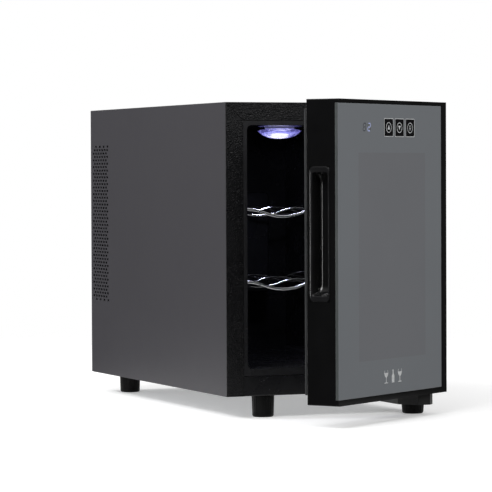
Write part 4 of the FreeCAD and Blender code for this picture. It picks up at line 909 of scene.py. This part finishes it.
def screw_head(shape, centre, radius, height, axis, shank):
    """Domed screw head with a cross recess; the shank runs back along the axis."""
    segments = 48
    arm, half = radius * 0.55, radius * 0.16

    def loop(reach, up):
        points = []
        for step in range(segments):
            turn = 2 * math.pi * step / segments
            distance = reach(turn) if callable(reach) else reach
            across, along = distance * math.cos(turn), distance * math.sin(turn)
            offset = (across, up, along) if axis == "Y" else (across, along, up)
            points.append(Vector(centre) + Vector(offset))
        return points

    shank_radius, shank_long = shank
    shape.skin([
        loop(shank_radius * 0.7, -shank_long), loop(shank_radius, -shank_long + 0.8 * MM),
        loop(shank_radius, 0), loop(radius, 0), loop(radius, height * 0.45),
        loop(radius * 0.9, height * 0.8), loop(radius * 0.7, height),
        loop(lambda turn: cross_reach(turn, arm, half), height),
        loop(lambda turn: 0.8 * cross_reach(turn, arm, half), height * 0.35),
    ])


class COOLER_OT_rear(CoolerOperator, bpy.types.Operator):
    """Rear cover, its screws, the mains inlet and the supply board"""
    bl_idname = "cooler.rear"
    bl_label = "Rear"

    def make(self, context, sizes, colours):
        cover = finish("rear_black", colours.frame_black, (0.40, 0.52), tone=(0.15, 60.0),
                       relief=("grain", 1300.0), depth=0.03, dust=0.08, Specular_IOR_Level=0.4)
        dress(["rear_cover"], cover, sizes.fold)
        dress(["power_inlet"], matt_plastic(context), sizes.fold)
        self.screws(context)
        self.supply_board(context)

    def screws(self, context):
        low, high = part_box("rear_cover_screws")
        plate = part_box("rear_cover")[1]
        head = high.y - plate.y
        radius = 3.0 * MM
        shape = Shape()
        for x in (low.x + radius, high.x - radius):
            for z in (low.z + radius, (low.z + high.z) / 2, high.z - radius):
                screw_head(shape, (x, plate.y, z), radius, head, "Y", (1.5 * MM, plate.y - low.y))
        piece = shape.build("cover_screws_cross", [bright_steel(context)], "cabinet", "steel_zinc")
        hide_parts("rear_cover_screws")

    def supply_board(self, context):
        low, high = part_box("power_board")
        card = low.y + 8 * MM
        top = card + 1.6 * MM
        middle_x, middle_z = (low.x + high.x) / 2, (low.z + high.z) / 2
        shape = Shape()
        shape.flat(rounded((low.x, low.z), (high.x, high.z), 2 * MM), card, top, finish=0)
        for x in (low.x + 5 * MM, high.x - 5 * MM):
            for z in (low.z + 5 * MM, high.z - 5 * MM):
                post = [(3.0 * MM, 0), (3.0 * MM, 1 * MM), (2.2 * MM, 1.6 * MM), (2.2 * MM, 8 * MM)]
                shape.lathe(post, (x, low.y, z), "Y", 16, finish=1)
        core = (middle_x - 46 * MM, middle_x - 12 * MM)
        for start, end, inset in ((0, 6, 0), (6, 18, 4), (18, 24, 0)):
            shape.block((core[0] + inset * MM, top + start * MM, middle_z - (16 - inset) * MM),
                        (core[1] - inset * MM, top + end * MM, middle_z + (14 - inset) * MM), 0.6 * MM,
                        finish=2 if inset else 1)
        cans = ((6, 8, 9, 22), (30, 10, 6, 18), (46, 10, 6, 18), (22, -2, 3, 11), (50, -4, 3, 11))
        for x, z, radius, tall in cans:
            can = [(radius * 0.9, 0), (radius, 0.8), (radius, tall * 0.14), (radius * 0.93, tall * 0.17),
                   (radius, tall * 0.2), (radius, tall - 1), (radius * 0.94, tall - 0.3),
                   (radius * 0.8, tall)]
            profile = [(r * MM, h * MM) for r, h in can]
            shape.lathe(profile, (middle_x + x * MM, top, middle_z + z * MM), "Y", 28, finish=1)
        for step in range(7):
            x = middle_x + (2 + step * 6) * MM
            shape.block((x, top, middle_z - 22 * MM), (x + 4 * MM, top + 10 * MM, middle_z - 12 * MM),
                        0.4 * MM, finish=3)
        board = circuit_board("green_board", (0.012, 0.10, 0.04))
        winding = finish("winding_tape", (0.35, 0.25, 0.05), (0.35, 0.5), relief=("grain", 800.0), depth=0.03)
        connector = finish("connector_white", (0.62, 0.60, 0.54), (0.4, 0.5), relief=("grain", 1500.0),
                           depth=0.01)
        piece = shape.build("supply_board", [board, matt_plastic(context), winding, connector], "cabinet",
                            "circuit_board")
        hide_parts("power_board")


class COOLER_OT_door_frame(CoolerOperator, bpy.types.Operator):
    """Polished stiles and rails, the inner frame and the spacer between the panes"""
    bl_idname = "cooler.door_frame"
    bl_label = "Door frame"

    def make(self, context, sizes, colours):
        dress(["door_stile_free", "door_stile_hinge", "door_rail_top", "door_rail_bottom"],
              polished_black(context))
        dress(["door_inner_frame"], matt_plastic(context), sizes.mould)
        dress(["glass_spacer"], bare_aluminium(context), sizes.fold)


class COOLER_OT_glass(CoolerOperator, bpy.types.Operator):
    """Smoked mirror glass with its window, and the clear inner pane"""
    bl_idname = "cooler.glass"
    bl_label = "Glass"

    def make(self, context, sizes, colours):
        low, high = shut_box("door_outer_glass")
        pane_low, pane_high = shut_box("door_inner_glass")
        lap = sizes.pane_lap
        across = [low.x, pane_low.x + lap, pane_high.x - lap, high.x]
        up = [low.z, pane_low.z + lap, pane_high.z - lap, high.z]
        shape = Shape()
        for y in (low.y, high.y):
            shape.vertices += [Vector((x, y, z)) for z in up for x in across]
        count, back = len(across), len(across) * len(up)
        for row in range(count - 1):
            for column in range(count - 1):
                first = row * count + column
                square = [first, first + 1, first + count + 1, first + count]
                window = 1 if row == 1 and column == 1 else 0
                shape.face(square, window)
                shape.face([back + corner for corner in reversed(square)], window)
        edge = list(range(count)) + [row * count + count - 1 for row in range(1, count)]
        edge += list(range(back - 2, back - count - 1, -1))
        edge += [row * count for row in range(count - 2, 0, -1)]
        for one, two in zip(edge, edge[1:] + edge[:1]):
            shape.face((two, one, back + one, back + two), 2)
        glasses = [self.mirror(colours), self.window(colours), self.edge()]
        piece = shape.build("smoked_mirror_glass", glasses, "door", "smoked_mirror", turned=True, smooth=0)
        bevel = soften(piece, sizes.arris)
        bevel.harden_normals = False
        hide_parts("door_outer_glass")
        clear, tree, shader = start_finish("clear_pane")
        rough = use_group(tree, "gloss", Low=0.0, High=0.02, Scale=25.0)
        tree.links.new(rough.outputs["Roughness"], shader.inputs["Roughness"])
        shade = use_group(tree, "colour", Colour=(0.90, 0.94, 0.92, 1), Amount=0.01, Scale=10.0)
        tree.links.new(shade.outputs["Colour"], shader.inputs["Base Color"])
        shader.inputs["Transmission Weight"].default_value = 1.0
        dress(["door_inner_glass"], clear)

    def mirror(self, colours):
        """Half-silvered grey over its backing, with the faintest haze of wiping. The grey base is partly the
        backing and partly painted reflection, standing in for the bright surroundings the silvering mirrors.
        """
        return finish("silvered_glass_painted_reflection", colours.mirror, (0.02, 0.045), tone=(0.02, 8.0), patches=12.0,
                      relief=("grain", 30.0), depth=0.004, IOR=1.5)

    def edge(self):
        """Ground edge of the pane."""
        return finish("ground_edge", (0.07, 0.078, 0.078), (0.30, 0.45), tone=(0.1, 200.0), depth=0.01)

    def window(self, colours):
        """Same silvering with nothing behind it, so that it can be seen through. Its grey base is painted
        reflection, standing in for the bright surroundings mirrored in the dark window.
        """
        material, tree, shader = start_finish("smoked_window_painted_reflection")
        shade = use_group(tree, "colour", Colour=(*colours.smoke_painted_reflection, 1), Amount=0.02, Scale=8.0)
        tree.links.new(shade.outputs["Colour"], shader.inputs["Base Color"])
        rough = use_group(tree, "gloss", Low=0.0, High=0.02, Scale=12.0)
        tree.links.new(rough.outputs["Roughness"], shader.inputs["Roughness"])
        shader.inputs["Transmission Weight"].default_value = 0.15
        shader.inputs["IOR"].default_value = 1.5
        return material


class COOLER_OT_handle(CoolerOperator, bpy.types.Operator):
    """Rolled bezel and scooped cup of the finger pull"""
    bl_idname = "cooler.handle"
    bl_label = "Handle"

    def make(self, context, sizes, colours):
        low, high = shut_box("handle_bezel")
        cup_low, cup_high = shut_box("handle_cup")
        wall = sizes.cup_wall
        outer = (low.y, low.z), (high.y, high.z)
        mouth = (cup_low.y + wall, cup_low.z + wall), (cup_high.y - wall, cup_high.z - wall)
        face = low.x + 0.6 * MM
        outer_round, mouth_round = 5 * MM, 3 * MM

        def ring(share, depth):
            corners = between(outer[0], mouth[0], share), between(outer[1], mouth[1], share)
            radius = outer_round + (mouth_round - outer_round) * share
            return [(face + depth, y, z) for y, z in rounded(*corners, radius)]

        proud = sizes.bezel_proud
        bezel = Shape()
        bezel.skin([ring(0.0, high.x - face), ring(0.0, -0.2 * proud), ring(0.05, -0.75 * proud),
                    ring(0.15, -proud), ring(0.30, -0.85 * proud), ring(0.70, -0.35 * proud),
                    ring(0.88, -0.45 * proud), ring(0.97, -0.1 * proud), ring(1.0, 0.5 * MM),
                    ring(1.0, high.x - face)], closed=True)
        # The bezel's black is made paler as painted highlight, standing in for the bright lines its rolls
        # catch
        black = finish("bezel_black_painted_highlight", paler(context.scene.cooler_colours.gloss_black, BEZEL_PAINTED_HIGHLIGHT),
                       (0.09, 0.15), tone=(0.2, 60.0), relief=("grain", 600.0), depth=0.004)
        piece = bezel.build("handle_bezel_rolled", [black], "door", "gloss_black", turned=True)
        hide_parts("handle_bezel")
        self.cup(context, sizes, (cup_low, cup_high), mouth, mouth_round)

    def cup(self, context, sizes, corners, mouth, mouth_round):
        cup_low, cup_high = corners
        depth = cup_high.x - cup_low.x - sizes.cup_wall
        scoop, corner = sizes.scoop, 3 * MM
        outside = (cup_low.y, cup_low.z), (cup_high.y, cup_high.z)
        loops = [[(x, y, z) for y, z in rounded(*outside, mouth_round)] for x in (cup_high.x, cup_low.x)]
        steps = 14
        for step in range(steps + 1):
            down = depth * math.sin(math.pi / 2 * step / steps)
            end = scoop - math.sqrt(max(scoop**2 - max(down - depth + scoop, 0) ** 2, 0))
            side = corner - math.sqrt(max(corner**2 - max(down - depth + corner, 0) ** 2, 0))
            low = (mouth[0][0] + side, mouth[0][1] + end)
            high = (mouth[1][0] - side, mouth[1][1] - end)
            loops.append([(cup_low.x + down, y, z) for y, z in rounded(low, high, mouth_round)])
        shape = Shape()
        shape.skin(loops)
        # The cup's black is made paler as painted reflection, standing in for the bright surroundings seen in
        # its hollow
        black = finish("cup_black_painted_reflection", paler(context.scene.cooler_colours.gloss_black, CUP_PAINTED_REFLECTION),
                       (0.05, 0.10), tone=(0.2, 60.0), relief=("grain", 300.0), depth=0.002,
                       Coat_Weight=1.0, Coat_Roughness=0.04)
        piece = shape.build("handle_cup_scooped", [black], "door", "gloss_black", turned=True,
                            smooth=50)
        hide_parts("handle_cup")


class COOLER_OT_gasket(CoolerOperator, bpy.types.Operator):
    """Bellows gasket with mitred corners, and its magnet strip"""
    bl_idname = "cooler.gasket"
    bl_label = "Gasket"

    def make(self, context, sizes, colours):
        low, high = shut_box("door_gasket")
        half = 5.85
        lobes = [(0.0, 0.0), (0.0, 1.0), (0.5, 1.7), (1.3, 2.1), (1.8, 2.9), (1.5, 3.5), (0.9, 4.2),
                 (0.6, 5.1), (0.9, 6.0), (1.7, 6.55), (2.8, 6.7), (4.2, 6.6), (half, 6.7)]
        profile = lobes + [(2 * half - inset, rise) for inset, rise in reversed(lobes[:-1])]
        loops = []
        for inset, rise in profile:
            inset, y = inset * MM, low.y + rise * MM
            loops.append([(low.x + inset, y, low.z + inset), (high.x - inset, y, low.z + inset),
                          (high.x - inset, y, high.z - inset), (low.x + inset, y, high.z - inset)])
        shape = Shape()
        shape.skin(loops, closed=True)
        piece = shape.build("gasket_bellows", [gasket_vinyl(context)], "door", "gasket_grey", turned=True,
                            smooth=50)
        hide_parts("door_gasket")
        magnet = finish("ferrite_strip", (0.02, 0.017, 0.015), (0.55, 0.7), tone=(0.2, 200.0),
                        relief=("grain", 1500.0), depth=0.03)
        dress(["gasket_magnet"], magnet)


class COOLER_OT_controls(CoolerOperator, bpy.types.Operator):
    """Printed touch keys, the lit digits, the boards behind them and the emblem"""
    bl_idname = "cooler.controls"
    bl_label = "Controls"

    def make(self, context, sizes, colours):
        black = finish("key_black", (0.004, 0.004, 0.005), (0.08, 0.14), tone=(0.2, 90.0),
                       relief=("grain", 500.0), depth=0.004, Specular_IOR_Level=0.4)
        dress(["touch_key_up", "touch_key_down", "touch_key_lamp"], black)
        dress(["temperature_display"], black, sizes.fold)
        dress(["control_board"], circuit_board("control_green", (0.012, 0.09, 0.04)), sizes.fold)
        ink = finish("pale_ink", colours.prints, (0.35, 0.45), tone=(0.08, 300.0), relief=("grain", 2500.0),
                     depth=0.003)
        for name in ("up", "down", "lamp"):
            self.key(name, sizes, ink)
        self.digits(sizes, colours)
        self.emblem(sizes)

    def key(self, name, sizes, ink):
        """Thin frame round the key, a ring in it and the key's own sign."""
        low, high = shut_box(f"touch_key_{name}")
        x, z = (low.x + high.x) / 2, (low.z + high.z) / 2
        back, front = low.y, low.y - sizes.print_lift
        line, reach = sizes.print_line, sizes.key_ring
        shape = Shape()
        shape.flat_ring(rounded((low.x, low.z), (high.x, high.z), 1.6 * MM),
                        rounded((low.x + line, low.z + line), (high.x - line, high.z - line), 1.1 * MM),
                        front, back)

        def circle(radius, count=40, rise=0.0):
            turns = [2 * math.pi * step / count for step in range(count)]
            return [(x + radius * math.cos(turn), z + rise + radius * math.sin(turn)) for turn in turns]

        shape.flat_ring(circle(reach), circle(reach - line), front, back)
        tip = 3.0 * MM
        if name == "lamp":
            bulb = 2.1 * MM
            shape.flat_ring(circle(bulb, 24, 0.9 * MM), circle(bulb - 0.8 * line, 24, 0.9 * MM), front, back)
            for drop, wide in ((1.7, 1.15), (2.6, 0.9), (3.4, 0.5)):
                shape.flat([(x - wide * MM, z - drop * MM), (x + wide * MM, z - drop * MM),
                            (x + wide * MM, z - (drop - 0.5) * MM), (x - wide * MM, z - (drop - 0.5) * MM)],
                           front, back)
        else:
            up = 1 if name == "up" else -1
            points = [(x - tip, z - up * 0.75 * tip), (x + tip, z - up * 0.75 * tip), (x, z + up * tip)]
            shape.flat(points[::up], front, back)
        shape.build(f"key_{name}_print", [ink], "door", "key_print", turned=True, smooth=0)

    def digits(self, sizes, colours):
        """Seven-segment digits that shine through the glass: a dim one and a bright two."""
        low, high = shut_box("temperature_display")
        front = shut_box("door_outer_glass")[0].y
        z = (low.z + high.z) / 2
        right = (low.x + high.x) / 2 + DIGIT_ACROSS
        wide, tall = sizes.digit_width / 2, sizes.digit_height / 2
        thick, lean = DIGIT_THICK, DIGIT_LEAN
        bars = {"a": ((-1, 1), (1, 1)), "b": ((1, 1), (1, 0)), "c": ((1, 0), (1, -1)),
                "d": ((-1, -1), (1, -1)), "e": ((-1, 0), (-1, -1)), "f": ((-1, 1), (-1, 0)),
                "g": ((-1, 0), (1, 0))}
        bright, dim = Shape(), Shape()
        for place, lit in ((right - sizes.digit_pitch, ""), (right, "abged")):
            for bar, (start, end) in bars.items():
                one = Vector((start[0] * wide, start[1] * tall))
                two = Vector((end[0] * wide, end[1] * tall))
                along = (two - one).normalized() * thick
                side = Vector((-along.y, along.x))
                tips = [one + along * 0.5, one + along * 1.3 + side * 0.8, two - along * 1.3 + side * 0.8,
                        two - along * 0.5, two - along * 1.3 - side * 0.8, one + along * 1.3 - side * 0.8]
                outline = [(place + tip.x + lean * tip.y, z + tip.y) for tip in tips]
                target = bright if bar in lit else dim
                target.flat(outline, front - sizes.print_lift, front)
        glow = glowing("digit_glow", colours.digits, 0.75, (0.10, 0.10, 0.12))
        rest = finish("digit_dim", (0.078, 0.083, 0.098), (0.2, 0.3), tone=(0.1, 400.0),
                      relief=("grain", 900.0), depth=0.003)
        bright.build("display_digit_lit", [glow], "door", "display_dark", turned=True, smooth=0)
        dim.build("display_digit_dim", [rest], "door", "display_dark", turned=True, smooth=0)

    def emblem(self, sizes):
        """Small row of a bottle between two glasses, in silver ink."""
        glass_low = shut_box("door_outer_glass")[0]
        x, z = glass_low.x + EMBLEM_ACROSS, glass_low.z + EMBLEM_UP
        front, back = glass_low.y - sizes.print_lift, glass_low.y
        tall = sizes.emblem_height

        def mirrored(half, centre):
            points = [(centre + across * tall, z + up * tall) for across, up in half]
            return points + [(2 * centre - px, pz) for px, pz in reversed(points)]

        shape = Shape()
        goblet = [(0.28, 0.0), (0.28, 0.04), (0.04, 0.08), (0.04, 0.42), (0.22, 0.56), (0.30, 0.74),
                  (0.295, 0.80)]
        wall = [(0.295, 0.80), (0.235, 1.0), (0.19, 1.0), (0.245, 0.80)]
        bottle = [(0.20, 0.0), (0.20, 0.52), (0.075, 0.70), (0.075, 0.92), (0.10, 0.92), (0.10, 1.0)]
        for centre in (x - 1.05 * tall, x + 1.05 * tall):
            shape.flat(mirrored(goblet, centre), front, back)
            for sign in (-1, 1):
                side = [(centre + sign * across * tall, z + up * tall) for across, up in wall]
                shape.flat(side[::sign], front, back)
        shape.flat(mirrored(bottle, x), front, back)
        silver = finish("silver_ink", (0.92, 0.93, 0.94), (0.25, 0.35), tone=(0.08, 400.0),
                        relief=("grain", 2500.0), depth=0.003)
        shape.build("glass_emblem", [silver], "door", "key_print", turned=True, smooth=0)


class COOLER_OT_hinges(CoolerOperator, bpy.types.Operator):
    """Hinge plate, pins, bushes and the bracket under the door"""
    bl_idname = "cooler.hinges"
    bl_label = "Hinges"

    def make(self, context, sizes, colours):
        black = finish("bracket_black", (0.009, 0.009, 0.009), (0.30, 0.42), tone=(0.2, 150.0),
                       relief=("grain", 1200.0), depth=0.02, dust=0.05, Specular_IOR_Level=0.4)
        dress(["upper_hinge_plate", "lower_hinge_bracket"], black, sizes.fold)
        dress(["upper_hinge_pin", "lower_hinge_pin"], bright_steel(context), sizes.fold)
        bush = finish("acetal_white", (0.72, 0.71, 0.68), (0.35, 0.45), tone=(0.04, 200.0),
                      relief=("grain", 1500.0), depth=0.01)
        dress(["upper_hinge_bush", "lower_hinge_bush"], bush, 0.5 * sizes.fold)
        low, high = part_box("hinge_plate_screws")
        centre = (low + high) / 2
        radius = (high.x - low.x) / 2
        shape = Shape()
        screw_head(shape, (centre.x, centre.y, high.z - 0.8 * MM), radius * 0.98, 0.8 * MM, "Z",
                   (radius * 0.9, high.z - low.z - 0.8 * MM))
        piece = shape.build("hinge_screw_cross", [bright_steel(context)], "cabinet", "steel_zinc")
        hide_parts("hinge_plate_screws")


class COOLER_OT_feet(CoolerOperator, bpy.types.Operator):
    """Fluted levelling feet"""
    bl_idname = "cooler.feet"
    bl_label = "Feet"

    def make(self, context, sizes, colours):
        black = finish("foot_black", colours.rubber, (0.30, 0.42), tone=(0.25, 120.0),
                       relief=("grain", 1800.0), depth=0.02, Specular_IOR_Level=0.12)
        feet = ["foot_front_left", "foot_front_right", "foot_rear_left", "foot_rear_right"]
        dress(feet, black, sizes.fold)


# ---- panel and registration ----

OPERATORS = (COOLER_OT_stage, COOLER_OT_sheet_metal, COOLER_OT_front_frame, COOLER_OT_liner,
             COOLER_OT_lamp, COOLER_OT_shelves, COOLER_OT_cooling_train, COOLER_OT_rear,
             COOLER_OT_door_frame, COOLER_OT_glass, COOLER_OT_handle, COOLER_OT_gasket,
             COOLER_OT_controls, COOLER_OT_hinges, COOLER_OT_feet)


class COOLER_PT_panel(bpy.types.Panel):
    """Lists the parts of the cooler and their settings"""
    bl_idname = "COOLER_PT_panel"
    bl_label = "Wine Cooler"
    bl_space_type = "VIEW_3D"
    bl_region_type = "UI"
    bl_category = "Cooler"

    def draw(self, context):
        for operator in OPERATORS:
            self.layout.operator(operator.bl_idname)
        scene = context.scene
        for settings in (scene.cooler_sizes, scene.cooler_colours, scene.cooler_studio):
            box = self.layout.box()
            for name in settings.__annotations__:
                box.prop(settings, name)


CLASSES = (CoolerSizes, CoolerColours, CoolerStudio, *OPERATORS, COOLER_PT_panel)


def register():
    for kind in CLASSES:
        bpy.utils.register_class(kind)
    bpy.types.Scene.cooler_sizes = bpy.props.PointerProperty(type=CoolerSizes)
    bpy.types.Scene.cooler_colours = bpy.props.PointerProperty(type=CoolerColours)
    bpy.types.Scene.cooler_studio = bpy.props.PointerProperty(type=CoolerStudio)


def unregister():
    for name in ("cooler_sizes", "cooler_colours", "cooler_studio"):
        delattr(bpy.types.Scene, name)
    for kind in reversed(CLASSES):
        bpy.utils.unregister_class(kind)


def main():
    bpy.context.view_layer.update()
    register()
    for operator in OPERATORS:
        family, name = operator.bl_idname.split(".")
        getattr(getattr(bpy.ops, family), name)()


if __name__ == "__main__":
    main()
